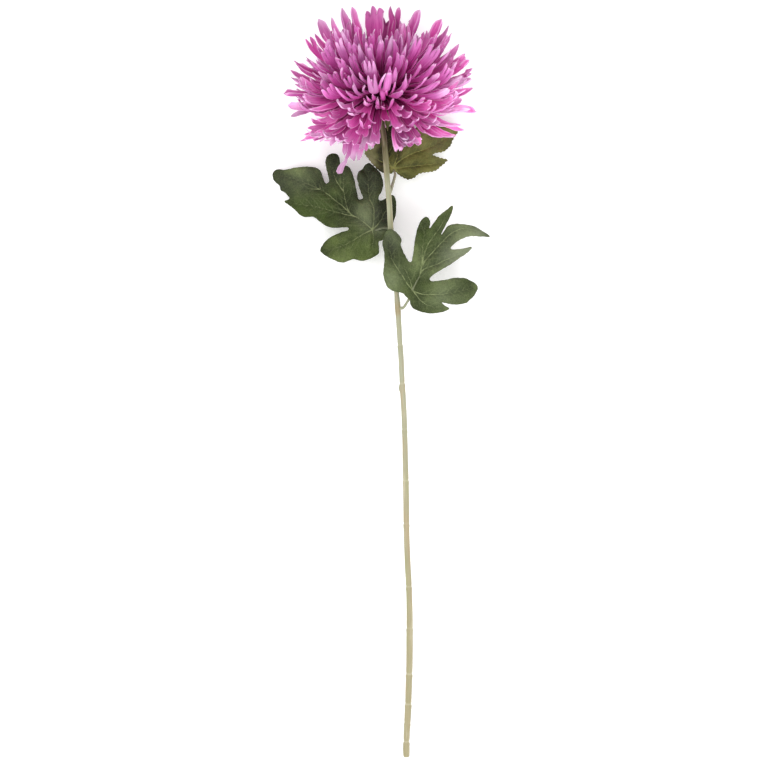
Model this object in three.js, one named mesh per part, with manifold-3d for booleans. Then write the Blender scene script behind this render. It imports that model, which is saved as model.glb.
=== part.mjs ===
// A single cut chrysanthemum bloom, lying on a flat surface: one long bare stem, three lobed leaves near the top
// and a large round head of strap-shaped ray florets. Millimetres. +Y runs along the stem towards the bloom, +Z up.
import * as THREE from "three";
import Module from "manifold-3d";

// ---- driving dimensions -------------------------------------------------------------------------------------
const STEM_RADIUS = 2.6;
const STEM_SIDES = 8;
const NODE_SWELL = 0.32; // how far a joint of the stem stands out
const RECEPTACLE_RADIUS = 9.95; // the ball under the florets
const HEAD_CENTRE = [0.9, 248.63, 62];
const HEAD_TILT = 15; // degrees that the bloom's axis rises from the surface
const HEAD_YAW = 0.5; // degrees that the axis leans towards +X
const ROOT_INNER = 10.3; // the collar of joined floret bases runs between these two distances from the head's centre
const ROOT_OUTER = 13.0;
const FLORET_THICK = 0.55;
const TIP_SHARE = 0.3; // half width of a floret's tip over its width
const COLLAR_THICK = 0.5;
const SHARE_GAP = 14; // florets nearer than this many degrees at the collar join at the foot
const BASE_FIRST = 12; // polar angle of the collars, degrees
const BASE_LAST = 122;
const BLADE_THICK = 0.9;
const BLADE_GRID = 11;
const REST_DEPTH = 30; // florets more than this below the head's centre are pressed flatter by the surface
const REST_RANGE = 45;
const REST_SPLAY = 0.35;
const ORIGIN = [1.04, -3.94, -0.72]; // centre of the footprint and the lowest point, before the final shift

const PETAL = { color: 0xb8499a, roughness: 0.72, metalness: 0 };
const PETAL_INNER = { color: 0xa8408c, roughness: 0.72, metalness: 0 };
const LEAF = { color: 0x465a38, roughness: 0.6, metalness: 0 };
const LEAF_PALE = { color: 0x686832, roughness: 0.62, metalness: 0 };
const STEM = { color: 0xbeb894, roughness: 0.58, metalness: 0 };
const BRACT = { color: 0x6c7a44, roughness: 0.66, metalness: 0 };

// ---- stem centre line, from the cut end to the neck -----------------------------------------------------------
const STEM_LINE = [
  [23.93,-343,1.52], [23.65,-332.02,2.35], [24.01,-318.3,3.38], [24.91,-301.85,4.62], [25.63,-281.75,6.13],
  [26.35,-258.93,7.85], [26.52,-236.13,9.58], [26.42,-208.78,11.64], [25.77,-186.02,13.36], [24.86,-167.82,14.74],
  [24.3,-145.09,16.46], [23.93,-122.37,18.18], [23.38,-99.67,19.9], [22.64,-79.71,21.42], [22.27,-54.32,23.35],
  [21.9,-36.2,24.72], [20.99,-18.1,26.1], [19.63,0,27.48], [18.99,18.09,28.85], [17.9,33.45,30.02],
  [16.99,49.71,31.26], [16.17,63.25,32.3], [14.72,81.3,33.67], [12.28,108.34,35.91], [9.56,137.13,39.18],
  [8.29,159.57,42.41], [6.49,180.17,45.91], [4.86,201.6,50.09], [3.51,217.62,53.59],
];
// distances from the cut end, measured along +Y, at which the stem has a joint
const STEM_JOINTS = [15, 32.5, 47.5, 75, 116, 153, 210.5, 249.5, 295.5, 337.5, 373.5];

// ---- leaf outlines in plan ------------------------------------------------------------------------------------
const LEAF_LEFT = [
  [-97.69,187.72], [-97.41,183.4], [-94.6,179.46], [-91.37,176.91], [-90.11,172.44], [-86.05,170.02],
  [-82.27,164.96], [-86.75,162.8], [-84.51,160.12], [-78.92,156.02], [-72.07,149.42], [-67.19,147.7],
  [-60.22,147.77], [-53.54,142.86], [-48.81,139.63], [-42.14,137.78], [-31.59,138.26], [-28.54,137.41],
  [-29.09,135.48], [-36.31,133.59], [-46.04,128.68], [-51.89,122.65], [-54.27,117.15], [-50.39,113.54],
  [-43.58,109.5], [-33.86,106.56], [-24.41,109.27], [-17.19,107.87], [-11.37,108.81], [-3.33,112.79],
  [-0.83,115.83], [-1.11,124.91], [2.22,126.57], [7.48,133.48], [11.63,141.52], [14.13,148.73], [14.68,155.65],
  [14.4,162.57], [11.91,167.27], [7.48,165.87], [2.22,162.81], [-0.83,162.8], [-1.11,165.85], [1.66,170.84],
  [3.05,177.49], [2.08,182.47], [0.28,187.17], [-3.6,191.59], [-9.41,196.16], [-13.01,195.07], [-15.92,190.93],
  [-19.39,188.6], [-20.77,183.35], [-19.39,176.41], [-17.17,169.34], [-15.51,164.76], [-19.25,163.67],
  [-20.77,170.05], [-21.74,174.35], [-23.27,181.7], [-25.48,188.64], [-28.67,193.38], [-32.7,194.24],
  [-35.75,192.88], [-36.58,200.37], [-38.66,204.14], [-42.83,205.43], [-47.56,203.12], [-49.36,198.7],
  [-48.95,193.15], [-46.86,184.95], [-46.17,180.23], [-48.25,178.03], [-49.78,178.88], [-51.87,183.62],
  [-53.81,189.05], [-57.99,192.56], [-65.79,193.63], [-76.12,192.94], [-86.75,191.16], [-92.64,191.81],
  [-96.28,190.06],
];
const LEAF_RIGHT = [
  [7.45,135.66], [13.23,134.4], [17.51,130.12], [19.57,125.83], [18.74,121.69], [20.95,116.04], [24.25,109.41],
  [26.73,106.65], [28.52,107.48], [29.77,113.55], [31.15,124.32], [33.36,135.64], [36.68,143.12], [40.82,147.15],
  [44.28,145.51], [45.38,141.1], [44.55,136.81], [47.87,140.97], [53.27,148.07], [60.2,153.81], [65.2,157.61],
  [65.61,153.6], [62.97,146.64], [59.35,139.83], [55.19,131.35], [56.86,133.03], [59.63,137.2], [63.79,140.29],
  [69.9,141.18], [76.86,140.72], [84.1,139.43], [89.69,136.88], [99.77,130.11], [91.08,129.83], [82.42,129.99],
  [75.59,128.24], [68.64,124.29], [64.05,119.55], [65.99,117.9], [74.05,118.68], [82.83,120.44], [79.76,115.83],
  [71.27,109.66], [62.94,103.92], [54.62,99.04], [47.98,94.86], [44.94,91.26], [47.43,89.2], [57.39,90.22],
  [67.09,92.22], [75.57,92.29], [82.54,89.86], [86.86,86.86], [88.54,82.72], [85.47,76.62], [81.15,72.3],
  [76.84,69.24], [67.25,68.08], [59.9,69.28], [55.88,70.09], [58.24,67.48], [62.68,64.34], [56.04,61.28],
  [46.36,60.01], [38.06,61.23], [31.16,63.83], [27.84,67.4], [26.74,72.21], [24.25,74.41], [20.12,78.4],
  [13.23,79.65], [7.72,82.55], [4.27,88.75], [2.89,97.03], [3.86,105.3], [3.72,114.96], [2.07,123.24],
  [4.14,131.38],
];
const LEAF_UPPER = [
  [9.13,186.99], [0.83,188.53], [-6.1,194.95], [-11.37,201.4], [-14.02,205.82], [-12.21,209.25], [-7.76,209.1],
  [-5.54,211.26], [-6.38,216.18], [-4.44,219.89], [1.36,228.38], [5.62,234.91], [12.33,235.81], [18.13,230.92],
  [24.38,226.93], [31.32,228.1], [38.27,231.85], [46.63,234.81], [55,234.73], [63.39,231.87], [70.67,228.16],
  [70.38,224.51], [66.44,218.79], [63.63,212.41], [58.02,207.37], [51.88,206.12], [47.97,204.36], [56.33,201.05],
  [61.36,199.62], [55.2,193.9], [50.74,189.92], [43.78,188.27], [35.72,187.04], [30.73,183.24], [24.63,181.93],
  [16.87,185.88], [13.83,188.35],
];

// ---- ray florets: one row for each whorl, from the crown of the bloom to its underside -------------------------
// [azimuth, polar angle of the tip, reach from the head's centre, width, half width at a third, half width at the root, twist at the tip]
const FLORETS = [
  [
    [21.5,6.9,62.4,4.6,1.7,0.52,0], [97.3,6.8,63.4,4.6,1.7,0.52,0], [158.3,6.2,63.5,4.6,1.7,0.52,0],
    [237.8,7.3,56.9,4.6,1.7,0.52,0], [307.6,5.6,60.4,4.6,1.7,0.52,0],
  ],
  [
    [6.3,14.4,70.4,5.32,2.18,1.04,53], [50.5,13.8,69.5,5.49,2.03,0.69,37], [79.8,15.7,64.8,5.33,2.06,0.69,9],
    [153.6,13,66.1,5.54,2.27,0.88,-23], [190.9,12.1,68.1,5.26,2.16,0.88,60], [247.6,16.2,87,5.78,2.37,0.93,13],
    [287,19.51,87.39,5.08,2.04,0.81,-3.75], [321.1,16.5,73.9,5.24,2.12,0.81,-39],
  ],
  [
    [0.3,22.4,75.9,5.23,2.15,0.8,-40], [37.7,22.3,72.1,5.21,2.14,1.22,39], [128,18.4,67.4,5.9,2.42,1.6,-26],
    [177.1,19.3,75,5.42,2.22,1.43,-40], [220.8,21.13,89.73,5.45,2.24,1.35,32], [262.1,22.2,72.1,5.43,2.23,1.12,2],
    [296.3,21.17,87.51,5.52,2.21,1.12,-9], [336,20.3,75.8,5.74,2.33,0.8,-38],
  ],
  [
    [20.3,26.5,74.3,5.57,2.28,1.6,35], [58.8,24.6,75.3,5.78,2.37,0.85,18], [79.1,23.5,78.4,5.47,2.24,0.85,19],
    [103.7,24.8,76.2,5.67,1.88,0.62,-10], [118.5,29,83.1,5.95,2.21,0.62,-30],
    [145.2,23.6,73.8,5.06,2.07,0.97,-33], [168.5,26.4,75.9,5.68,2.33,0.97,-42], [195,23.6,78.9,5.23,2.14,0.69,57],
    [211.6,27.2,92,6.39,2.62,0.69,61], [286,25.8,75,5.03,2.06,0.97,-28], [309.3,23.6,74.2,5.78,2.34,0.79,-11],
    [328.1,23.73,89.87,6.27,2.57,0.79,-39],
  ],
  [
    [1.3,31.5,77.9,6.78,2.56,0.8,-58], [54.9,32.5,84.7,7.02,2.88,1.21,41], [79.1,32,81.8,7.07,2.9,0.87,0],
    [96.4,32.8,77.5,7.38,2.84,0.87,3], [132.8,32.3,84.7,6.29,2.58,1.18,-52], [156.2,31.4,83.3,7.2,2.95,1.18,-31],
    [180.6,34.5,81.4,6.67,2.73,1.15,24], [203.4,34.1,88.4,7.1,2.91,1.15,48], [228.4,30.4,82.5,7.32,3,1.17,-3],
    [251.7,29.7,82.8,5.09,2.09,0.85,-17], [268.7,30.9,76.1,6.2,2.53,0.81,13],
    [284.9,34.5,81.6,6.33,2.59,0.81,-21], [312,31.3,83.5,7.45,3.05,1.37,8], [345.4,29.5,69.52,5.39,2.21,0.8,-22],
  ],
  [
    [14.8,38.2,82.7,6.94,2.85,1.01,20], [32.1,36,82.6,6.45,2.65,1.01,51], [51.3,37.6,86.3,6.46,2.65,1.13,44],
    [76.6,39.8,87,6.03,2.45,1.49,9], [102.4,41.1,87.1,6.07,2.36,1.15,-10], [122.1,38,80.1,6.88,2.82,1.15,-9],
    [147.3,38.5,85.7,6.88,2.82,1.48,-28], [199.3,39.3,93.4,7.06,2.89,1.6,55],
    [232.5,38.5,78.8,7.02,2.88,1.44,-11], [257.1,38.3,82.1,7.39,2.45,0.75,-24],
    [269.9,40,81.9,7.28,2.49,0.75,-23], [301.4,37,77.9,7.49,3.07,1.01,5], [318.6,38.3,72.51,7.01,2.87,1.01,-14],
    [339.8,36.5,91.32,7.14,2.93,1.24,-57],
  ],
  [
    [2.4,43.9,85.8,7.29,2.99,1.12,-24], [19.3,46.2,83.1,7.45,3.05,1.12,33], [48.2,43.3,87.2,7.06,2.89,1.46,47],
    [70.2,42.1,87.1,6.29,2.55,0.89,20], [83.6,47,87.4,6.77,2.78,0.89,6], [97.9,46.3,87.3,6.2,2.37,0.7,-5],
    [108.3,42.9,87.1,6.54,2.04,0.7,-22], [134,41.1,87.1,6.56,2.69,1.09,-48], [150.5,46.5,87.3,6.13,2.51,0.86,-56],
    [163.4,43.9,81.4,6.1,2.5,0.86,-28], [178.6,43.3,87.1,6.98,2.86,1.01,57], [221.1,42.1,79.7,7.48,3.07,1.21,11],
    [239.2,46.3,79.6,6.13,2.51,1.21,-14], [283.3,45,82.2,7.2,2.95,1.6,18], [309.4,44.3,75.51,6.62,2.71,1.6,5],
    [343.2,42.1,92,6.42,2.61,1.28,-40],
  ],
  [
    [29.5,50.8,87.5,6.14,2.52,0.78,50], [40.1,46.9,87.3,6.85,2.53,0.78,49], [63.1,48.8,87.4,7.01,2.87,0.93,40],
    [75.7,48.1,87.4,5.94,2.44,0.93,24], [94.3,51.7,87.6,6.36,2.26,0.71,-10], [103.9,51.3,87.6,5.78,2.37,0.71,-19],
    [115.3,51,87.6,6.25,2.09,0.74,-26], [125.3,50.4,87.5,5.95,2.33,0.74,-32],
    [139.7,47.7,87.4,7.02,2.88,1.06,-48], [192.9,50.6,88.4,7.17,2.94,1.29,68], [210.3,49.3,86.5,6.76,2.77,1.25,9],
    [227.1,51.3,86.8,7.5,3.07,1.25,11], [254.4,48.4,84.2,6.46,2.65,1.6,5], [276,51.3,79.2,6.12,2.51,1.38,-20],
    [294.6,52.1,85.3,6.9,2.83,1.02,-26], [308.4,52.7,81.1,6.05,2.48,0.94,-27], [321.1,48,84.1,6.3,2.58,0.88,23],
    [333,47.6,79.1,6.61,2.67,0.88,11], [345.1,46.5,88.69,6.35,2.58,0.9,-52],
  ],
  [
    [14.4,55,83.59,6.23,2.56,1.21,-37], [54.9,56.6,87.8,6.44,2.64,0.97,50], [66.8,55.6,87.8,7,2.87,0.97,35],
    [82.1,57.5,87.9,6.17,2.53,1.23,18], [98.9,53.3,87.6,6.85,1.96,0.66,-8], [107,58.8,87.9,7.04,2.13,0.66,-27],
    [121.2,53.6,87.6,5.78,2.11,0.79,-38], [131,53.3,87.6,6.13,2.41,0.79,-36],
    [143.7,53.3,87.7,6.48,2.66,1.03,-61], [159.2,57.6,80.6,6.97,2.86,1.2,-35],
    [174.1,57.4,79.9,6.59,2.47,0.81,56], [184.1,55.9,74.73,6.84,2.44,0.81,30], [218.6,56.5,81.9,6.93,2.84,1.6,6],
    [240.6,55.4,86.8,7.41,3.04,1.6,-24], [264,53.6,82.7,6.76,2.77,1.6,8], [317.8,56.2,86.6,6.65,2.73,0.87,28],
    [328.5,58.2,81.34,7.08,2.57,0.82,21], [338.6,55.3,83.5,6.36,2.56,0.82,-41],
    [348.9,54,86.02,7.17,2.74,0.83,-56], [359.5,57.8,86.14,6.6,2.57,0.86,-25.5],
  ],
  [
    [5.5,61.6,87.9,6.22,2.47,1.58,-17.44], [23.7,61,84.4,6.82,2.8,1.09,20], [36.1,61.7,88,6.16,2.53,0.95,48],
    [47,61.5,88,6.32,2.59,0.95,56], [86.4,62.1,88,6.05,2.43,0.89,9], [96.6,63,88,5.95,2.44,0.89,-21],
    [111.4,63,88,6.62,2.72,0.85,-35], [121.1,58.8,87.9,6.65,2.69,0.85,-47], [150.2,60.5,80.4,6.09,2.5,1.6,-42],
    [175.1,63.4,88,6.64,2.72,1.6,58], [205.3,62.5,76.99,6.7,2.75,1.6,-10], [226.7,63.9,81.4,7.02,2.88,0.96,9],
    [237.7,63.6,80.5,6.53,2.68,0.96,-17], [250.2,59.5,86.6,7.06,2.89,1.09,-4], [273.5,60.2,83.4,7.11,2.89,0.94,6],
    [284.2,59.5,85.6,6.03,2.12,0.69,23], [292.2,64.6,84.3,6.09,2.13,0.69,7], [302.1,59.3,80.2,7.01,2.36,0.8,-6],
    [311.3,62.3,84.8,7.44,2.5,0.8,5], [335,64.6,79.7,6.38,2.61,1.6,-10],
  ],
  [
    [6.8,65.6,82.27,6.12,2.23,0.77,-34.5], [17.7,68.5,83.4,6.89,2.82,1.02,-37], [56.4,68.3,88,6.18,2.53,0.93,64],
    [66.4,65.9,88,6.25,1.75,0.58,38], [72.6,65.1,88,6.17,1.74,0.58,32], [82,67,72,4.98,1.9,1,0],
    [92.4,64,88,6.41,2.63,1.19,-6], [105.2,68.1,88,6.59,2.7,1.19,-40], [126.2,64,88,6.2,2.31,0.75,-44],
    [134.2,67.9,83.2,6.57,2.22,0.75,-48], [143.2,66,88,6.86,2.62,0.84,-52], [160.8,70.3,83.1,6.04,2.48,1.6,36],
    [195.4,69.79,83.84,6.85,2.81,1.6,40], [216.6,67.3,81.87,7.1,2.91,1.6,-11], [246.3,69.1,87.4,6.47,2.65,1.06,6],
    [257.8,70.4,86.9,6.33,2.35,0.76,-9], [265.9,66.5,86.5,7.21,2.32,0.76,-7], [275.1,69.5,84.8,6.36,2.61,0.86,-1],
    [302.3,68,85.3,6.28,2.58,1.5,-27], [318.5,67.8,80.3,6.65,2.46,0.84,18], [327.5,70.1,86.1,7.05,2.62,0.84,-15],
    [344.3,66.4,83.1,6.15,2.52,1.31,-29], [358.4,69.82,88.11,6.48,2.36,0.77,-37],
  ],
  [
    [8.4,71.4,80.82,6.2,2.54,1.6,-53], [28,74.3,87.2,7.25,2.97,1.06,-34], [38.8,73.4,88,6.36,2.46,0.8,51],
    [47,74.6,88,6.98,2.46,0.8,47], [67.8,76.5,88,6.14,2.52,1.04,43], [78.4,72,88,6.45,2.64,1.04,36],
    [90,72,62,5.4,2,0.9,12], [101,73.5,56,5.2,1.9,0.9,-14], [112.8,72.3,88,6.68,2.74,1.25,-51],
    [125.5,70.8,88,7.03,2.88,1.25,-56], [141.5,73.4,88,6.38,2.61,1.01,-51], [151.7,73.6,86.5,6.34,2.6,1.01,34],
    [171.8,72.6,85.6,6.11,2.5,1.31,54], [185.2,71.7,86.73,6.49,2.66,1.31,64],
    [202.4,71.8,82.3,6.29,2.58,1.18,-21], [214.5,75.4,80.9,7.21,2.96,1.08,-3], [225.4,73.8,85.2,7.26,2.98,1.08,7],
    [237.3,72.7,82.4,6.28,2.57,1.17,23], [283.4,73.2,80.6,6.42,2.63,1.31,-2], [296.8,74.6,80.6,7.21,2.96,1.31,1],
    [310.6,73.6,81.1,6.96,2.85,1.35,21], [351.9,76.2,84.77,7.21,2.96,1.6,-34],
  ],
  [
    [0.2,79.42,83.8,6.52,2.67,0.97,-29], [9.7,78.98,78.31,6.12,2.48,0.97,-33],
    [22.8,82.5,80.1,6.44,2.64,1.34,-40], [40.4,82.5,86.8,7.19,2.95,1.6,-44], [58.4,80.3,88,6.48,2.66,1.6,-52],
    [76.8,82.1,88,6.22,2.55,1.6,-61], [91,79,50,5.2,1.9,0.9,10], [104,78,60,4.59,1.63,0.9,-6.33],
    [117.6,80.7,88,6.07,2.46,1.6,41], [134.7,81.3,88,6.33,2.6,1.16,66], [146,80.8,88,6.31,2.59,1.16,43],
    [157.9,79.6,85.2,7.38,2.71,0.91,32], [166.8,81.96,90.43,6.23,2.56,0.91,40],
    [190.1,80.3,80.59,6.01,2.46,1.6,23], [208.8,81.8,87,7.41,3.04,1.21,-24], [220.6,82.5,83.3,7.32,2.85,0.97,17],
    [230.1,82.3,80,7.48,2.72,0.96,-18], [239.5,81,86.6,6.65,2.73,0.96,-3], [250.8,78.7,86.4,7.43,2.5,0.84,6],
    [259,82.4,79.6,7.39,2.34,0.84,-7], [268.8,79.8,80.6,6.33,2.6,1,-7], [279,80.9,80.4,7.12,2.69,0.95,0],
    [288.3,81.1,83.6,7.26,2.78,0.95,4], [320.5,78.1,81.7,6.99,2.87,1.47,19], [334.9,78.7,82.5,6.78,2.78,1.47,11],
  ],
  [
    [1.8,87.2,73.35,6.43,2.64,1.17,-46], [12.8,83.9,74.7,6.11,2.48,1.17,-51], [49.8,83.5,88,6.04,2.48,0.96,-47],
    [58.8,87.6,88,6.34,2.6,0.96,-45], [70.8,85.5,88,6.58,2.7,1.27,-55], [84,83,58,4.4,1.55,0.9,-3.8],
    [94,82,48,3.46,1.13,0.9,1.05], [103.5,86.2,88,5.65,2.27,0.87,33.75], [111.7,85.1,88,6.12,2.22,0.87,19.69],
    [124.6,87.5,88,5.9,2.42,1.36,66], [158.8,87.9,83.1,7.07,2.87,1.6,21.75],
    [174.5,83.5,79.2,6.47,2.62,1.04,46.5], [184.4,85.51,71.45,7.39,3.03,1.04,30],
    [200,84.88,82.04,7.34,3.01,1.6,2], [247.6,87,87.8,7.35,3.01,1.6,0], [297.8,83.8,87.7,6.87,2.74,0.92,2],
    [306.5,87.3,84.6,6.02,2.47,0.92,-9], [319.3,86.8,85.4,7.12,2.9,0.99,26], [328.6,81.83,83.02,6.26,2.57,0.99,1],
    [343,85.1,80.4,6.45,2.64,1.53,-6],
  ],
  [
    [13.3,91.7,76.38,6.4,2.57,0.99,-32.06], [22.3,89.97,68.49,6.79,2.59,0.94,-29],
    [30.9,88,79.83,6.62,2.39,0.89,-19], [39,96.97,80.7,7.41,2.39,0.88,-23], [47.1,94.81,78.5,6.92,2.39,0.88,-49],
    [55.4,94.7,88,6.21,2.55,0.91,-58], [66.3,93.7,81.9,6.38,2.62,1.19,-25], [78.5,92.2,88,5.94,2.34,1.33,-16.14],
    [89,83.5,44,2.3,0.72,0.8,0.04], [100.8,96.3,88,4.53,1.69,1.21,2.18], [111.9,90.2,88,6.87,2.82,1.21,62],
    [134.2,90.6,87.3,6.53,2.68,1.56,26], [148.5,89.9,73.69,6.05,2.45,1.56,9.75],
    [167.7,88.85,85.13,6.24,2.5,1.17,28.69], [178.5,97.74,81.57,5.21,1.97,1.17,2.5],
    [192.2,91.54,71.88,6.26,2.57,1.04,7], [201.8,94.7,80.7,7.19,2.43,0.9,-22], [210,92.2,87.2,7.38,2.61,0.9,13],
    [235.1,89.9,86.2,7.21,2.96,1.6,-7], [261.1,90.6,84.1,7.24,2.97,1.08,0], [271,93,84.9,6.01,2.46,1.08,-5],
    [283.8,94.6,83.8,6.94,2.85,1.24,-6], [295.2,92.1,87.7,7.29,2.99,1.24,1], [336.5,90.4,80.1,6.07,2.49,1.44,-4],
    [349.7,88.79,73.19,6.41,2.63,1.44,-7],
  ],
  [
    [8.5,91.6,81,5.89,2.38,1.6,-16.31], [29.5,100.4,77.36,6.79,2.78,1.6,-27], [73.1,98.7,80.5,6.63,2.72,1.08,-16],
    [85.33,91.79,60,3.72,1.37,0.9,0], [92.8,100.3,88,2.28,0.71,1.08,0], [105.5,100.1,81.7,7.16,2.94,1.6,31],
    [121.9,96.2,83.1,6,2.46,1.6,28], [144.5,99,82.25,6.08,2.49,1.41,48], [157.1,89.1,86,5.7,2.29,0.93,13.5],
    [165.5,96,64.51,6.19,1.97,0.77,42], [172.4,92.97,73.25,4.4,1.4,0.77,5.41],
    [186.4,98.5,66.08,7.46,3.06,1.56,17], [223.3,96.7,85.1,7.28,2.99,1.28,13],
    [234.8,100.4,84.2,6.13,2.51,1.22,-5], [245.7,96.3,80.9,6.75,2.76,1.02,-8], [254.9,97.3,81.8,6.47,2.65,0.98,7],
    [263.8,99.4,87.9,6.47,2.65,0.98,-2], [311.1,96.7,88,6.53,2.68,1.36,6], [323.3,99.2,87,6.97,2.86,1.36,-21],
    [352.3,96,86.41,6.88,2.82,1.6,-5],
  ],
  [
    [0.4,108.43,78.86,6.03,2.42,1.6,-25.88], [17.8,102.9,75.48,6.57,2.66,1.6,-33],
    [38.3,102.9,80.65,6.23,2.53,1.42,-27.75], [50.9,101.9,81,6.19,2.54,1.42,-21],
    [65.1,105.2,82.72,6.27,2.04,0.79,-30], [72,103.3,88,5.99,1.85,0.79,-15.75],
    [73.7,102.9,88,5.89,2.12,0.86,-15.75], [90.44,99.38,54,2.4,0.84,0.9,0], [95.3,105.2,88,5.05,1.99,1.6,3.16],
    [113.8,104.7,86.6,6.27,2.57,1.6,29], [131.1,103.3,80.3,6.05,2.43,1.6,9.56], [159.8,105.4,73,6.35,2.39,1.6,53],
    [198.3,97.03,74.63,7.17,2.92,1.09,27], [207.9,102.8,73.42,6.57,2.69,1.09,24],
    [224.6,106.1,83.7,7.2,2.95,1.6,-23], [244.2,106.5,80.8,6.93,2.84,1.6,-9], [272.2,103.9,80.6,6.65,2.73,1.06,9],
    [281.6,102.7,79.9,6.56,2.69,1.06,-1], [296.1,101.9,86.1,6.74,2.77,1.05,5],
    [305.5,106.6,86.4,7.05,2.89,1.05,-3], [316.9,103.52,74.43,6.63,2.72,1.29,-2],
    [331.6,101.52,63.04,7.04,2.89,1.39,1], [344,100.2,57.25,6.42,2.6,1.39,-3],
  ],
  [
    [1.4,112.78,73.4,5.88,2.36,1.05,-24.19], [10.6,110.8,70.9,6.02,2.39,1.05,-13.92],
    [20.4,106.7,73.21,5.72,2.21,1.11,-15.19], [30.5,106,77.66,6.11,2.5,1.14,-41],
    [46.1,103.7,81.4,6.37,2.58,1.6,-21.75], [72,104.4,88,5.06,1.89,1.43,-6.96],
    [100.3,110.5,78.39,7.4,3.04,1.33,19], [100.7,109,87.2,7.32,3,1.33,2], [123.6,104.7,87,6.05,2.43,1.6,18.56],
    [141.9,106.5,83.5,6.78,2.45,1.02,20.25], [150.9,108.2,82.53,7.04,2.61,1,52],
    [159.8,111.3,78.91,6.09,2.5,1,55], [169.2,113.4,76.47,6.56,2.58,1.07,44], [180,113.8,77.28,6.18,2.54,1.1,40],
    [189.7,115.6,79.9,6.65,2.55,1.1,12.38], [212.9,109.8,77.31,6.99,2.87,1.6,21],
    [260,107.5,79.4,7.33,3.01,1.6,4], [278,112.3,80.5,7.19,2.74,1.09,5], [287.6,108.9,86.4,7,2.87,1.09,5],
    [338.5,111.3,77.74,6.82,2.76,1.12,-3.75], [348.4,111.7,65.27,6.58,2.67,1.12,9],
  ],
  [
    [26.3,109.1,74.7,5.44,2.16,1.48,-9.28], [39.4,107.8,72.22,6.88,2.82,1.48,-39],
    [53.8,114.4,65.21,6.01,2.46,1.13,-23], [63.8,107,79.5,6.22,2.55,1.13,-29],
    [116.9,118.3,59.7,7.16,2.94,1.6,32], [135.4,108.4,80.4,5.6,2.25,1.6,16.88],
    [151.5,117.5,63.5,5.6,2.25,1.6,30], [191.9,117,79.6,5.9,2.39,1.08,-4.5],
    [201.4,114.3,78.49,7.32,2.83,1.08,28], [236.2,114.2,78.1,6.27,2.57,1.6,3], [267.6,115,77.9,6.04,2.47,1.6,4],
    [298.4,113.7,74,7.26,2.98,1.6,5], [324.4,113.9,75.11,6.18,2.53,1.6,27],
  ],
  [
    [1.4,114.7,69.66,7.27,2.98,1.38,-16], [13.9,113.2,70.73,6.2,2.46,1.4,-18.56],
    [47.4,122.5,56.64,6.9,2.32,1.19,-34], [58,123.8,56.58,7.27,2.42,1.19,-18],
    [131.1,121.4,61.84,6.87,2.82,1.6,14], [147.4,121.1,56.7,6.1,2.42,1.6,24], [170.4,115.2,75,6.05,2.48,1.42,40],
    [183,117.4,76.14,6.59,2.64,1.42,2.25], [209,124.3,74.92,6.77,2.77,1.6,28], [224.7,121,81,7.07,2.9,1.6,8],
    [251.8,119.7,78.1,6.16,2.53,1.6,6], [274.4,120.8,42,6.84,2.77,1.6,-6], [288.9,123.7,47,7.4,3,1.6,5],
    [306.3,120.1,55.2,6.09,2.24,1.18,15], [316.8,117.4,65.6,5.51,2.07,1.18,-7.91],
    [336.9,119.9,71.81,6.85,2.81,1.38,24], [349.1,115.4,73.88,6.95,2.82,1.38,-14.25],
  ],
  [
    [10.3,120.2,58.14,6.36,2.61,1.26,-37], [21.8,128.8,50.6,6.27,2.42,1.26,-31],
    [36.5,127.9,52.45,6.37,2.61,1.6,-12], [122.4,126.5,54.7,6.92,2.84,1.6,21],
    [139.2,130.7,56.9,6.56,2.66,1.6,30], [159.5,126.3,54.36,6.59,2.7,1.6,29],
    [180.8,120.5,71.76,6.29,2.56,1.6,23.25], [195.5,122.6,71.3,6.59,2.7,1.6,12],
    [244,129.1,68.7,6.53,2.68,1.6,-11], [260.7,128.7,71.2,6.36,2.58,1.39,-7.5],
    [273.2,130.7,47.6,6.12,2.33,1.39,-14], [308.5,130,56.7,6.75,2.77,1.6,-26],
    [325.7,121,75.5,6.33,2.49,1.6,-6.01],
  ],
  [
    [52.3,131.5,50.78,6.35,2.58,1.6,-24], [214.6,128.4,68.01,7.12,2.92,1.47,22],
    [228.2,134.1,66.9,6.24,2.56,1.47,14], [291.7,128.5,39,5.08,1.91,1.6,-2.5],
    [339.5,122.4,66.87,7.13,2.93,1.6,27], [356.6,132.1,49.84,6.46,2.59,1.6,14.06],
  ],
  [
    [8.3,138.4,49.18,6.78,2.78,1.6,-13], [24.1,140.4,47.1,6.59,2.59,1.6,-31],
    [40.4,137.5,48.51,6.96,2.86,1.6,-48], [53.7,138,49.13,7.05,2.86,1.6,-8], [126.9,140,60.2,6.7,2.75,1.6,32],
    [146.9,127.7,48.7,3.2,0.89,1.6,1.22], [172,148.9,56,7.12,2.92,1.6,29], [188.8,148.1,55,6.79,2.73,1.6,3.94],
    [247.8,142.3,58,6.78,2.78,1.6,-2], [265.2,140.8,51.2,6.66,2.73,1.6,-17], [319.8,137.5,58.14,6.28,2.57,1.6,2],
    [347.5,138.4,52.96,5.89,2.37,1.6,-11.81],
  ],
  [
    [10.1,148.3,47.11,6.17,2.43,1.6,-28], [47.9,146.7,45.9,6.6,2.68,1.6,-22],
    [116.7,147.6,43.52,6.47,2.65,1.6,17], [158.48,148.11,76,3.06,0.91,1.4,0.34],
    [203.4,148.86,57.26,6.76,2.75,1.6,21], [229.1,145.3,58.8,7.43,3.05,1.6,25],
    [301.8,149.8,58.7,4.64,1.75,1.6,1.3], [333.6,137.8,56.4,7.06,2.89,1.6,-15],
  ],
  [
    [27,152.3,42.3,6.62,2.71,1.6,-15], [41.1,154.4,45.9,6.99,2.84,1.6,-16], [140.9,154,45.8,6.88,2.82,1.6,25],
    [177.9,155.59,56.71,6.14,2.49,1.6,29.25], [197,158.69,55.79,6.33,2.59,1.6,5],
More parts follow.
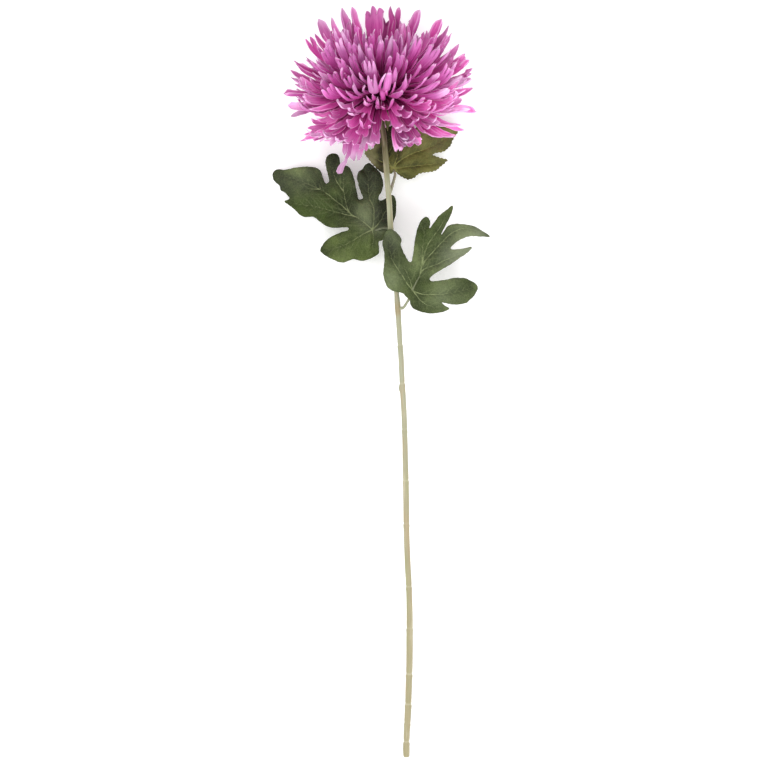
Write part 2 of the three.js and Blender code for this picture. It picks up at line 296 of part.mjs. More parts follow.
    [263.9,144.5,50.22,6.03,2.47,1.6,7], [322.4,152.9,52.53,6.57,2.7,1.6,-17],
    [349.5,150.7,47.35,6.26,2.57,1.6,-14],
  ],
];

// ---- frame of the head ----------------------------------------------------------------------------------------
const rad = THREE.MathUtils.degToRad;
const V = (x, y, z) => new THREE.Vector3(x, y, z);
const centre = V(...HEAD_CENTRE);
const axis = V(
  Math.sin(rad(HEAD_YAW)) * Math.cos(rad(HEAD_TILT)),
  Math.cos(rad(HEAD_YAW)) * Math.cos(rad(HEAD_TILT)),
  Math.sin(rad(HEAD_TILT)),
).normalize();
const right = V(1, 0, 0).addScaledVector(axis, -axis.x).normalize();
const front = V(0, 0, 0).crossVectors(right, axis).normalize();

function table(xs, ys, x) {
  if (x <= xs[0]) return ys[0];
  for (let i = 1; i < xs.length; i++)
    if (x <= xs[i]) return ys[i - 1] + ((ys[i] - ys[i - 1]) * (x - xs[i - 1])) / (xs[i] - xs[i - 1]);
  return ys[ys.length - 1];
}

// ---- closed meshes from plain arrays ----------------------------------------------------------------------------
class Body {
  constructor() {
    this.points = [];
    this.faces = [];
  }
  point(v) {
    this.points.push(v.x, v.y, v.z);
    return this.points.length / 3 - 1;
  }
  tri(a, b, c) {
    if (a !== b && b !== c && a !== c) this.faces.push(a, b, c);
  }
  quad(a, b, c, d) {
    this.tri(a, b, c);
    this.tri(a, c, d);
  }
  geometry() {
    const g = new THREE.BufferGeometry();
    g.setAttribute("position", new THREE.Float32BufferAttribute(this.points, 3));
    g.setIndex(this.faces);
    return g;
  }
}

function orient(g) {
  const p = g.attributes.position;
  const index = g.index.array;
  let volume = 0;
  const a = V(), b = V(), c = V();
  for (let i = 0; i < index.length; i += 3) {
    a.fromBufferAttribute(p, index[i]);
    b.fromBufferAttribute(p, index[i + 1]);
    c.fromBufferAttribute(p, index[i + 2]);
    volume += a.dot(b.cross(c));
  }
  if (volume < 0)
    for (let i = 0; i < index.length; i += 3) [index[i + 1], index[i + 2]] = [index[i + 2], index[i + 1]];
  return g;
}

// A round rod through stations [x, y, z, radius], closed at both ends.
function rod(stations, sides, sideways = V(1, 0, 0)) {
  const body = new Body();
  const rings = [];
  const at = stations.map((s) => V(s[0], s[1], s[2]));
  for (let i = 0; i < at.length; i++) {
    const t = at[Math.min(i + 1, at.length - 1)].clone().sub(at[Math.max(i - 1, 0)]).normalize();
    const u = sideways.clone().addScaledVector(t, -t.dot(sideways)).normalize();
    const w = V().crossVectors(t, u);
    const ring = [];
    for (let k = 0; k < sides; k++) {
      const f = (2 * Math.PI * (k + 0.5)) / sides;
      ring.push(body.point(at[i].clone().addScaledVector(u, stations[i][3] * Math.cos(f)).addScaledVector(w, stations[i][3] * Math.sin(f))));
    }
    rings.push(ring);
  }
  for (let i = 1; i < rings.length; i++)
    for (let k = 0; k < sides; k++) {
      const n = (k + 1) % sides;
      body.quad(rings[i - 1][k], rings[i - 1][n], rings[i][n], rings[i][k]);
    }
  const first = body.point(at[0]), last = body.point(at[at.length - 1]);
  for (let k = 0; k < sides; k++) {
    const n = (k + 1) % sides;
    body.tri(first, rings[0][n], rings[0][k]);
    body.tri(last, rings[rings.length - 1][k], rings[rings.length - 1][n]);
  }
  return orient(body.geometry());
}

// ---- stem with its receptacle -------------------------------------------------------------------------------------
function stemGeometry() {
  const start = STEM_LINE[0][1];
  const joints = STEM_JOINTS.map((d) => start + d);
  const line = STEM_LINE.map((p) => V(...p));
  const pointAt = (y) => {
    for (let i = 1; i < line.length; i++)
      if (y <= line[i].y) return line[i - 1].clone().lerp(line[i], (y - line[i - 1].y) / (line[i].y - line[i - 1].y));
    return line[line.length - 1].clone();
  };
  const stations = [];
  const plain = line.filter((p) => joints.every((j) => Math.abs(p.y - j) > 5));
  for (const p of plain) stations.push([p.x, p.y, p.z, STEM_RADIUS]);
  for (const j of joints)
    for (const [off, grow] of [[-2.6, 0], [0, NODE_SWELL], [1.7, 0]]) {
      const p = pointAt(j + off);
      stations.push([p.x, p.y, p.z, STEM_RADIUS + grow]);
    }
  stations.sort((a, b) => a[1] - b[1]);
  stations[0][3] = STEM_RADIUS * 0.92;
  const neck = [[-14.5, 2.75], [-11.8, 3.2], [-9.6, 4.4]];
  const ball = [-8, -5.6, -2.8, 0, 2.8, 5.6, 7.8, 9.2].map((x) => [x, Math.sqrt(RECEPTACLE_RADIUS ** 2 - x * x)]);
  for (const [x, r] of [...neck, ...ball]) {
    const p = centre.clone().addScaledVector(axis, x);
    stations.push([p.x, p.y, p.z, r]);
  }
  return rod(stations, STEM_SIDES);
}

// ---- leaves ---------------------------------------------------------------------------------------------------------
function inside(outline, x, y) {
  let c = false;
  for (let i = 0, j = outline.length - 1; i < outline.length; j = i++) {
    const [xi, yi] = outline[i], [xj, yj] = outline[j];
    if (yi > y !== yj > y && x < ((xj - xi) * (y - yi)) / (yj - yi) + xi) c = !c;
  }
  return c;
}
function edgeDistance(outline, x, y) {
  let best = Infinity;
  for (let i = 0, j = outline.length - 1; i < outline.length; j = i++) {
    const [x1, y1] = outline[j], [x2, y2] = outline[i];
    const dx = x2 - x1, dy = y2 - y1;
    const t = Math.max(0, Math.min(1, ((x - x1) * dx + (y - y1) * dy) / (dx * dx + dy * dy)));
    best = Math.min(best, Math.hypot(x - x1 - t * dx, y - y1 - t * dy));
  }
  return best;
}

// Triangles over an outline with extra points inside it: ear clipping, point insertion, then edge flips.
function fillOutline(outline, spacing) {
  const pts = outline.map((p) => [...p]);
  const count = pts.length;
  let faces = THREE.ShapeUtils.triangulateShape(pts.map((p) => new THREE.Vector2(...p)), []).map((f) => [...f]);
  const turn = (a, b, c) => (pts[b][0] - pts[a][0]) * (pts[c][1] - pts[a][1]) - (pts[b][1] - pts[a][1]) * (pts[c][0] - pts[a][0]);
  faces = faces.map((f) => (turn(...f) < 0 ? [f[0], f[2], f[1]] : f));
  const xs = outline.map((p) => p[0]), ys = outline.map((p) => p[1]);
  let row = 0;
  for (let y = Math.min(...ys) + spacing * 0.45; y < Math.max(...ys); y += spacing * 0.866, row++)
    for (let x = Math.min(...xs) + (row % 2 ? 0.25 : 0.75) * spacing; x < Math.max(...xs); x += spacing)
      if (inside(outline, x, y) && edgeDistance(outline, x, y) > 0.5 * spacing) {
        pts.push([x, y]);
        const n = pts.length - 1;
        for (let i = 0; i < faces.length; i++) {
          const [a, b, c] = faces[i];
          if (turn(a, b, n) > 0 && turn(b, c, n) > 0 && turn(c, a, n) > 0) {
            faces.splice(i, 1, [a, b, n], [b, c, n], [c, a, n]);
            break;
          }
        }
      }
  const border = new Set();
  for (let i = 0; i < count; i++) border.add(`${Math.min(i, (i + 1) % count)},${Math.max(i, (i + 1) % count)}`);
  const inCircle = (a, b, c, d) => {
    const m = [a, b, c].map((i) => [pts[i][0] - pts[d][0], pts[i][1] - pts[d][1]]);
    const s = m.map(([x, y]) => x * x + y * y);
    return (
      m[0][0] * (m[1][1] * s[2] - s[1] * m[2][1]) - m[0][1] * (m[1][0] * s[2] - s[1] * m[2][0]) + s[0] * (m[1][0] * m[2][1] - m[1][1] * m[2][0]) > 1e-9
    );
  };
  for (let round = 0; round < 60; round++) {
    const owner = new Map();
    let flips = 0;
    faces.forEach((f, i) => {
      for (let k = 0; k < 3; k++) {
        const u = f[k], v = f[(k + 1) % 3];
        const key = `${Math.min(u, v)},${Math.max(u, v)}`;
        if (!owner.has(key)) owner.set(key, []);
        owner.get(key).push([i, f[(k + 2) % 3]]);
      }
    });
    const touched = new Set();
    for (const [key, sides] of owner) {
      if (border.has(key) || sides.length !== 2) continue;
      const [[i, p], [j, q]] = sides;
      if (touched.has(i) || touched.has(j)) continue;
      const [u, v] = key.split(",").map(Number);
      const f = faces[i];
      if (!inCircle(...f, q)) continue;
      const first = turn(p, u, q) > 0 ? [p, u, q] : [p, q, u];
      const second = turn(p, v, q) > 0 ? [p, v, q] : [p, q, v];
      if (turn(p, q, u) * turn(p, q, v) >= 0) continue;
      faces[i] = first;
      faces[j] = second;
      touched.add(i).add(j);
      flips++;
    }
    if (!flips) break;
  }
  return { pts, faces, count };
}

function bladeGeometry(outline, height) {
  const { pts, faces, count } = fillOutline(outline, BLADE_GRID);
  const body = new Body();
  const top = pts.map(([x, y]) => body.point(V(x, y, height(x, y) + BLADE_THICK / 2)));
  const low = pts.map(([x, y]) => body.point(V(x, y, height(x, y) - BLADE_THICK / 2)));
  for (const [a, b, c] of faces) {
    body.tri(top[a], top[b], top[c]);
    body.tri(low[a], low[c], low[b]);
  }
  const area = outline.reduce((s, [x, y], i) => s + x * outline[(i + 1) % count][1] - outline[(i + 1) % count][0] * y, 0);
  for (let i = 0; i < count; i++) {
    const n = (i + 1) % count;
    if (area > 0) body.quad(low[i], low[n], top[n], top[i]);
    else body.quad(low[n], low[i], top[i], top[n]);
  }
  return orient(body.geometry());
}

const over = (v) => Math.max(0, v);
// height of each blade's middle surface over the resting plane
const leftJoint = [-6.78, 135.48];
const rightJoint = [29.76, 82.65];
const upperJoint = [11.96, 193.28];
const leftHeight = (x, y) => {
  const u = over(leftJoint[0] - x), v = over(leftJoint[1] - y), r = over(x - leftJoint[0]);
  return 28.5 - 0.115 * u - 0.002215 * u * u - 0.1 * v - 0.0042 * v * v - 0.05 * r;
};
const rightHeight = (x, y) => {
  const u = over(x - rightJoint[0]), l = over(rightJoint[0] - x), v = over(rightJoint[1] - y);
  return 42.5 + 0.1 * l - 0.1 * u - 0.0033 * u * u - 0.006 * v * v;
};
const upperHeight = (x, y) => {
  const u = over(x - upperJoint[0]), l = over(upperJoint[0] - x), n = over(y - upperJoint[1]);
  return 22 - 0.06 * u - 0.0022 * u * u - 0.05 * l - 0.0018 * l * l - 0.08 * n;
};
const LEAF_STALKS = {
  left: [[6.0, 136.9, 38.4, 1.35], [1.2, 137.0, 33.4, 1.25], [-6.78, 135.48, 28.8, 1.15], [-16.2, 142.2, 27.0, 0.8], [-25.5, 148.7, 25.0, 0.35]],
  right: [[19.9, 64.9, 33.4, 1.35], [24.2, 72.4, 37.4, 1.25], [29.76, 82.65, 42.1, 1.15], [37.5, 97.5, 41.6, 0.8], [46.3, 113.6, 40.0, 0.35]],
  upper: [[11.9, 159.6, 41.6, 1.3], [12.4, 169.0, 36.2, 1.2], [14.1, 185.4, 26.2, 1.15], [12.4, 193.0, 22.3, 1.1], [24.5, 194.4, 21.0, 0.35]],
};

// ---- whorls of ray florets --------------------------------------------------------------------------------------------
const baseAngle = (k) => (k < 0 ? 5.5 : BASE_FIRST + (k * (BASE_LAST - BASE_FIRST)) / (FLORETS.length - 2));
const lean = (polar) => table([7, 14, 30, 60, 105, 130, 152], [3, 6, 11, 12, 10, 0, -14], polar);

// The surface the bloom rests on presses the lowest florets flatter and spreads them.
function rest(p) {
  const q = p.clone().sub(centre);
  const depth = -q.z;
  if (depth > REST_DEPTH) {
    const pressed = REST_DEPTH + REST_RANGE * (1 - Math.exp(-(depth - REST_DEPTH) / REST_RANGE));
    const spread = 1 + (REST_SPLAY * (depth - pressed)) / 50;
    q.set(q.x * spread, q.y * spread, -pressed);
  }
  return q.add(centre);
}

function whorlGeometry(rows, base, opts = {}) {
  const body = new Body();
  const psi = rad(base);
  const collar = (r, azimuth, side) => {
    const out = right.clone().multiplyScalar(Math.cos(azimuth)).addScaledVector(front, Math.sin(azimuth));
    return centre
      .clone()
      .addScaledVector(axis, r * Math.cos(psi) + side * (COLLAR_THICK / 2) * Math.sin(psi))
      .addScaledVector(out, r * Math.sin(psi) - side * (COLLAR_THICK / 2) * Math.cos(psi));
  };
  // azimuths at which the collar has corners, and which floret stands on each stretch between them
  const rootRadius = ROOT_OUTER * Math.sin(psi);
  const spans = rows.map((f) => {
    const half = Math.asin(Math.min(0.95, f[5] / rootRadius));
    return [rad(f[0]) - half, rad(f[0]) + half];
  });
  const corners = [];
  const stretches = [];
  rows.forEach((f, i) => {
    const next = (i + 1) % rows.length;
    const end = spans[i][1];
    let begin = spans[next][0] + (next === 0 ? 2 * Math.PI : 0);
    const previous = spans[(i + rows.length - 1) % rows.length][1] - (i === 0 ? 2 * Math.PI : 0);
    const shared = spans[i][0] - previous < rad(SHARE_GAP);
    corners.push(shared ? (spans[i][0] + previous) / 2 : spans[i][0]);
    stretches.push(i);
    if (begin - end < rad(SHARE_GAP)) return;
    const parts = Math.max(1, Math.ceil((begin - end) / rad(18)));
    for (let n = 0; n < parts; n++) {
      corners.push(end + ((begin - end) * n) / parts);
      stretches.push(-1);
    }
  });
  const ring = corners.map((phi) => ({
    it: body.point(collar(ROOT_INNER, phi, 1)),
    ib: body.point(collar(ROOT_INNER, phi, -1)),
    ot: body.point(collar(ROOT_OUTER, phi, 1)),
    ob: body.point(collar(ROOT_OUTER, phi, -1)),
  }));
  ring.forEach((p, i) => {
    const q = ring[(i + 1) % ring.length];
    body.quad(p.it, p.ot, q.ot, q.it);
    body.quad(p.ib, q.ib, q.ob, p.ob);
    body.quad(p.ib, p.it, q.it, q.ib);
    if (stretches[i] < 0) body.quad(p.ob, q.ob, q.ot, p.ot);
  });
  ring.forEach((p, i) => {
    if (stretches[i] < 0) return;
    const q = ring[(i + 1) % ring.length];
    const [azimuth, polar, reach, width, third, , twist] = rows[stretches[i]];
    const phi = rad(azimuth), th = rad(polar), bend = rad(polar + (opts.lean ?? lean(polar)));
    const out = right.clone().multiplyScalar(Math.cos(phi)).addScaledVector(front, Math.sin(phi));
    const across = right.clone().multiplyScalar(-Math.sin(phi)).addScaledVector(front, Math.cos(phi));
    const polarPoint = (r, angle) => V().addScaledVector(axis, r * Math.cos(angle)).addScaledVector(out, r * Math.sin(angle));
    const curve = new THREE.CubicBezierCurve3(
      polarPoint(ROOT_OUTER, psi),
      polarPoint(ROOT_OUTER + 0.3 * reach, psi),
      polarPoint(0.72 * reach, bend),
      polarPoint(reach, th),
    );
    const place = (s) => rest(curve.getPoint(s).add(centre));
    // the strap's own frame: b across it and n towards the crown, both turned by the twist
    const section = (s) => {
      const c = place(s);
      const t = place(Math.min(1, s + 0.01)).sub(place(s - 0.01)).normalize();
      const b = across.clone().addScaledVector(t, -t.dot(across)).normalize();
      const n = V().crossVectors(b, t).normalize();
      const turn = rad(twist) * THREE.MathUtils.smoothstep(s, 0.3, 0.8);
      return {
        c,
        b: b.clone().multiplyScalar(Math.cos(turn)).addScaledVector(n, Math.sin(turn)),
        n: n.clone().multiplyScalar(Math.cos(turn)).addScaledVector(b, -Math.sin(turn)),
      };
    };
    const skin = (before, now) => {
      for (const k of [0, 2, 3]) body.quad(before[k], before[(k + 1) % 4], now[(k + 1) % 4], now[k]);
      body.quad(before[2], now[2], now[1], before[1]); // split the same way as the face above it
      return now;
    };
    let last = [p.ot, p.ob, q.ob, q.ot];
    for (const [s, half] of [[0.36, third], [0.76, width / 2]]) {
      const { c, b, n } = section(s);
      const corner = (u, v) => body.point(c.clone().addScaledVector(b, u * half).addScaledVector(n, (v * FLORET_THICK) / 2));
      last = skin(last, [corner(-1, 1), corner(-1, -1), corner(1, -1), corner(1, 1)]);
    }
    const { c, b } = section(1);
    const low = body.point(c.clone().addScaledVector(b, -TIP_SHARE * width));
    const high = body.point(c.clone().addScaledVector(b, TIP_SHARE * width));
    skin(last, [low, low, high, high]);
  });
  return orient(body.geometry());
}

// ---- joining and clearing with solids -----------------------------------------------------------------------------------
const wasm = await Module();
wasm.setup();
const solid = (g) => new wasm.Manifold(new wasm.Mesh({ numProp: 3, vertProperties: new Float32Array(g.attributes.position.array), triVerts: new Uint32Array(g.index.array) }));
function surface(m) {
  const mesh = m.getMesh();
  const g = new THREE.BufferGeometry();
  const position = new Float32Array(mesh.numVert * 3);
  for (let i = 0; i < mesh.numVert; i++) for (let k = 0; k < 3; k++) position[3 * i + k] = mesh.vertProperties[i * mesh.numProp + k];
  g.setAttribute("position", new THREE.BufferAttribute(position, 3));
  g.setIndex([...mesh.triVerts]);
  return g;
}
function leafGeometry(outline, height, stalk) {
  return surface(solid(bladeGeometry(outline, height)).add(solid(rod(stalk, 8, V(0, 0, 1)))));
}

// ---- the flower -----------------------------------------------------------------------------------------------------------
const flower = new THREE.Group();
function piece(name, geometry, look) {
  geometry.computeVertexNormals();
  const mesh = new THREE.Mesh(geometry, new THREE.MeshStandardMaterial({ ...look, flatShading: true }));
  mesh.name = name;
  flower.add(mesh);
  return mesh;
}

piece("stem", stemGeometry(), STEM);
piece("leaf_left", leafGeometry(LEAF_LEFT, leftHeight, LEAF_STALKS.left), LEAF);
piece("leaf_right", leafGeometry(LEAF_RIGHT, rightHeight, LEAF_STALKS.right), LEAF);
piece("leaf_upper", leafGeometry(LEAF_UPPER, upperHeight, LEAF_STALKS.upper), LEAF_PALE);

const bracts = [];
for (let i = 0; i < 13; i++) bracts.push([12 + (360 / 13) * i, 142, 26 + (i % 3), 5.6, 2.6, 2.0, 0]);
piece("bracts", whorlGeometry(bracts, 129.5, { lean: -4 }), BRACT);

FLORETS.forEach((rows, i) => {
  const name = i === 0 ? "floret_tuft" : `floret_whorl_${String(i).padStart(2, "0")}`;
  piece(name, whorlGeometry(rows, baseAngle(i - 1)), i < 6 ? PETAL_INNER : PETAL);
});

flower.position.set(-ORIGIN[0], -ORIGIN[1], -ORIGIN[2]);
const root = new THREE.Group();
root.add(flower);
root.updateMatrixWorld(true);

export default root;
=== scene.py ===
"""A single cut chrysanthemum lying on a pale floor, seen from straight above: ray florets, leaves, bracts and stem as
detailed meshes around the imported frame. Lengths in the tables are millimetres; the scene is in metres."""

import math

import bpy
import numpy as np
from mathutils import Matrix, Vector, noise
from mathutils.geometry import delaunay_2d_cdt


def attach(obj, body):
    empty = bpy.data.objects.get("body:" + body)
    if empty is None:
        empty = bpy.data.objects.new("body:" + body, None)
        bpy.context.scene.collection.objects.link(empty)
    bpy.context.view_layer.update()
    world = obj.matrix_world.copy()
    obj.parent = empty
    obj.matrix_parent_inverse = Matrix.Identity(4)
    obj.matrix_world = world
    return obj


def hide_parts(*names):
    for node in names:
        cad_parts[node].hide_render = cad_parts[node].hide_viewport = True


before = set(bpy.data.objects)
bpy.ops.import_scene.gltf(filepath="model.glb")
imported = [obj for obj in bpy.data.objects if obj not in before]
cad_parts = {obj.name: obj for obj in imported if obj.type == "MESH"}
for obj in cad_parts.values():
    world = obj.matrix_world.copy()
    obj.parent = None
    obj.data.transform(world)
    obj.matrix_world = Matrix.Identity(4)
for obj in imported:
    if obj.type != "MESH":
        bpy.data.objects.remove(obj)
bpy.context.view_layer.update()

# ---- driving dimensions, in millimetres, before the shift to the frame's origin ---------------------------------
ORIGIN = np.array([1.04, -3.94, -0.72])
HEAD_CENTRE = np.array([0.9, 248.63, 62.0])
HEAD_TILT = 15.0
HEAD_YAW = 0.5
STEM_RADIUS = 2.6
RECEPTACLE_RADIUS = 9.95
ROOT_OUTER = 13.0
BASE_FIRST, BASE_LAST = 12.0, 122.0
REST_DEPTH, REST_RANGE, REST_SPLAY = 30.0, 45.0, 0.35
STEM_JOINTS = [13, 30.3, 47.5, 75, 116.7, 154.5, 211.9, 250.9, 297.3, 338.9, 373.9]
JOINT_MARKS = [0.7, 0.22, 0.75, 0.85, 0.45, 0.6, 0.42, 0.6, 0.36, 0.7, 0.45]  # how plainly each joint shows

STEM_LINE = [
    [23.93, -343, 1.52], [23.65, -332.02, 2.35], [24.01, -318.3, 3.38], [24.91, -301.85, 4.62],
    [25.63, -281.75, 6.13], [26.35, -258.93, 7.85], [26.52, -236.13, 9.58], [26.42, -208.78, 11.64],
    [25.77, -186.02, 13.36], [24.86, -167.82, 14.74], [24.3, -145.09, 16.46], [23.93, -122.37, 18.18],
    [23.38, -99.67, 19.9], [22.64, -79.71, 21.42], [22.27, -54.32, 23.35], [21.9, -36.2, 24.72],
    [20.99, -18.1, 26.1], [19.63, 0, 27.48], [18.99, 18.09, 28.85], [17.9, 33.45, 30.02], [16.99, 49.71, 31.26],
    [16.17, 63.25, 32.3], [14.72, 81.3, 33.67], [12.28, 108.34, 35.91], [9.56, 137.13, 39.18], [8.29, 159.57, 42.41],
    [6.49, 180.17, 45.91], [4.86, 201.6, 50.09], [3.51, 217.62, 53.59],
]
LEAF_LEFT = [
    [-97.69, 187.72], [-97.41, 183.4], [-94.6, 179.46], [-91.37, 176.91], [-90.11, 172.44], [-86.05, 170.02],
    [-82.27, 164.96], [-86.75, 162.8], [-84.51, 160.12], [-78.92, 156.02], [-72.07, 149.42], [-67.19, 147.7],
    [-60.22, 147.77], [-53.54, 142.86], [-48.81, 139.63], [-42.14, 137.78], [-31.59, 138.26], [-28.54, 137.41],
    [-29.09, 135.48], [-36.31, 133.59], [-46.04, 128.68], [-51.89, 122.65], [-54.27, 117.15], [-50.39, 113.54],
    [-43.58, 109.5], [-33.86, 106.56], [-24.41, 109.27], [-17.19, 107.87], [-11.37, 108.81], [-3.33, 112.79],
    [-0.83, 115.83], [-1.11, 124.91], [2.22, 126.57], [7.48, 133.48], [11.63, 141.52], [14.13, 148.73],
    [14.68, 155.65], [14.4, 162.57], [11.91, 167.27], [7.48, 165.87], [2.22, 162.81], [-0.83, 162.8],
    [-1.11, 165.85], [1.66, 170.84], [3.05, 177.49], [2.08, 182.47], [0.28, 187.17], [-3.6, 191.59], [-9.41, 196.16],
    [-13.01, 195.07], [-15.92, 190.93], [-19.39, 188.6], [-20.77, 183.35], [-19.39, 176.41], [-17.17, 169.34],
    [-15.51, 164.76], [-19.25, 163.67], [-20.77, 170.05], [-21.74, 174.35], [-23.27, 181.7], [-25.48, 188.64],
    [-28.67, 193.38], [-32.7, 194.24], [-35.75, 192.88], [-36.58, 200.37], [-38.66, 204.14], [-42.83, 205.43],
    [-47.56, 203.12], [-49.36, 198.7], [-48.95, 193.15], [-46.86, 184.95], [-46.17, 180.23], [-48.25, 178.03],
    [-49.78, 178.88], [-51.87, 183.62], [-53.81, 189.05], [-57.99, 192.56], [-65.79, 193.63], [-76.12, 192.94],
    [-86.75, 191.16], [-92.64, 191.81], [-96.28, 190.06],
]
LEAF_RIGHT = [
    [7.45, 135.66], [13.23, 134.4], [17.51, 130.12], [19.57, 125.83], [18.74, 121.69], [20.95, 116.04],
    [24.25, 109.41], [26.73, 106.65], [28.52, 107.48], [29.77, 113.55], [31.15, 124.32], [33.36, 135.64],
    [36.68, 143.12], [40.82, 147.15], [44.28, 145.51], [45.38, 141.1], [44.55, 136.81], [47.87, 140.97],
    [53.27, 148.07], [60.2, 153.81], [65.2, 157.61], [65.61, 153.6], [62.97, 146.64], [59.35, 139.83],
    [55.19, 131.35], [56.86, 133.03], [59.63, 137.2], [63.79, 140.29], [69.9, 141.18], [76.86, 140.72],
    [84.1, 139.43], [89.69, 136.88], [99.77, 130.11], [91.08, 129.83], [82.42, 129.99], [75.59, 128.24],
    [68.64, 124.29], [64.05, 119.55], [65.99, 117.9], [74.05, 118.68], [82.83, 120.44], [79.76, 115.83],
    [71.27, 109.66], [62.94, 103.92], [54.62, 99.04], [47.98, 94.86], [44.94, 91.26], [47.43, 89.2], [57.39, 90.22],
    [67.09, 92.22], [75.57, 92.29], [82.54, 89.86], [86.86, 86.86], [88.54, 82.72], [85.47, 76.62], [81.15, 72.3],
    [76.84, 69.24], [67.25, 68.08], [59.9, 69.28], [55.88, 70.09], [58.24, 67.48], [62.68, 64.34], [56.04, 61.28],
    [46.36, 60.01], [38.06, 61.23], [31.16, 63.83], [27.84, 67.4], [26.74, 72.21], [24.25, 74.41], [20.12, 78.4],
    [13.23, 79.65], [7.72, 82.55], [4.27, 88.75], [2.89, 97.03], [3.86, 105.3], [3.72, 114.96], [2.07, 123.24],
    [4.14, 131.38],
]
LEAF_UPPER = [
    [9.13, 186.99], [0.83, 188.53], [-6.1, 194.95], [-11.37, 201.4], [-14.02, 205.82], [-12.21, 209.25],
    [-7.76, 209.1], [-5.54, 211.26], [-6.38, 216.18], [-4.44, 219.89], [1.36, 228.38], [5.62, 234.91],
    [12.33, 235.81], [18.13, 230.92], [24.38, 226.93], [31.32, 228.1], [38.27, 231.85], [46.63, 234.81],
    [55, 234.73], [63.39, 231.87], [70.67, 228.16], [70.38, 224.51], [66.44, 218.79], [63.63, 212.41],
    [58.02, 207.37], [51.88, 206.12], [47.97, 204.36], [56.33, 201.05], [61.36, 199.62], [55.2, 193.9],
    [50.74, 189.92], [43.78, 188.27], [35.72, 187.04], [30.73, 183.24], [24.63, 181.93], [16.87, 185.88],
    [13.83, 188.35],
]
VEINS_LEFT = [
    [[-6.85, 135.83], [-13.67, 141.89], [-21.25, 147.34], [-25.03, 148.56], [-30.34, 149.62], [-40.95, 152.49], [-52.31, 155.53], [-61.4, 157.8], [-72.01, 159.31], [-81.86, 160.83]],
    [[-21.25, 147.34], [-26.17, 150.22], [-29.96, 157.04], [-31.47, 163.1], [-32.61, 169.92], [-33.14, 177.5], [-32.38, 185.07], [-30.34, 189.62]],
    [[-26.17, 150.22], [-30.34, 154.01], [-34.13, 157.8], [-40.19, 162.34], [-46.25, 167.65], [-54.58, 172.95], [-62.92, 176.74], [-72.77, 181.29], [-79.59, 183.56], [-89.44, 185.83]],
    [[-32.61, 169.92], [-35.64, 174.47], [-39.43, 180.53], [-41.7, 187.35], [-42.84, 194.92]],
    [[-6.85, 135.83], [-5.71, 144.92], [-5.71, 155.53], [-8.75, 162.34], [-10.26, 170.68], [-10.64, 181.29], [-10.26, 190.38]],
    [[-6.85, 135.83], [-11.4, 133.93], [-18.97, 129.77], [-26.55, 125.22], [-32.61, 122.19], [-40.95, 119.54], [-49.28, 116.89]],
    [[-6.85, 135.83], [-0.03, 143.4], [5.27, 153.25], [11.33, 160.07]],
    [[-6.85, 135.83], [-6.09, 126.73], [-7.61, 117.64]],
    [[-54.58, 172.95], [-61.4, 173.33], [-68.22, 173.48]],
    [[-53.83, 173.71], [-54.96, 176.74], [-55.34, 179.01]],
    [[-40.95, 152.34], [-44.73, 149.46], [-47.76, 147.95]],
]
VEINS_RIGHT = [
    [[29.63, 80.41], [25.06, 86.11], [20.36, 93.5], [16.33, 99.55], [12.3, 105.59], [10.29, 110.29], [8.94, 119.02], [9.28, 128.42]],
    [[29.63, 80.41], [31.11, 84.77], [33.79, 89.47], [35.81, 94.84], [36.81, 99.55], [37.82, 108.28], [38.49, 118.35], [39.5, 129.77], [40.84, 141.85]],
    [[37.82, 104.25], [39.16, 110.96], [41.18, 117.68], [44.54, 124.39], [49.24, 131.11], [55.28, 139.84], [62, 151.26]],
    [[37.49, 101.56], [41.18, 108.28], [46.55, 114.32], [52.6, 121.04], [58.64, 127.41], [65.36, 133.12], [75.43, 136.82], [88.86, 134.47], [95.58, 130.77]],
    [[35.81, 94.84], [39.16, 99.55], [45.21, 102.23], [51.92, 104.58], [58.64, 108.28], [68.71, 112.3], [78.79, 117.68]],
    [[29.63, 80.41], [38.49, 77.25], [46.55, 77.25], [55.28, 77.25], [65.36, 79.06], [82.14, 82.76]],
    [[29.63, 80.41], [33.12, 76.04], [37.15, 71.34], [43.87, 67.31], [55.28, 65.3]],
    [[29.63, 80.41], [27.08, 89.47], [23.72, 97.53], [20.36, 106.26]],
]
VEINS_UPPER = [
    [[12.13, 191.78], [18.16, 192.08], [24.19, 193.29], [36.24, 194.49], [48.29, 195.7], [58.54, 197.69]],
    [[12.13, 191.78], [15.75, 196.6], [19.37, 199.62], [24.19, 202.63], [31.42, 206.24], [39.25, 208.66], [48.29, 212.87], [63.36, 221.31]],
    [[12.13, 191.78], [13.94, 197.81], [15.75, 202.63], [16.65, 207.45]],
    [[12.13, 191.78], [15.75, 188.77], [20.57, 185.75], [25.39, 182.74]],
    [[12.13, 191.78], [6.11, 195.4], [0.08, 198.41], [-5.95, 202.03], [-10.77, 204.44]],
    [[12.13, 191.78], [8.52, 196.6], [7.31, 205.04], [6.11, 214.08]],
]

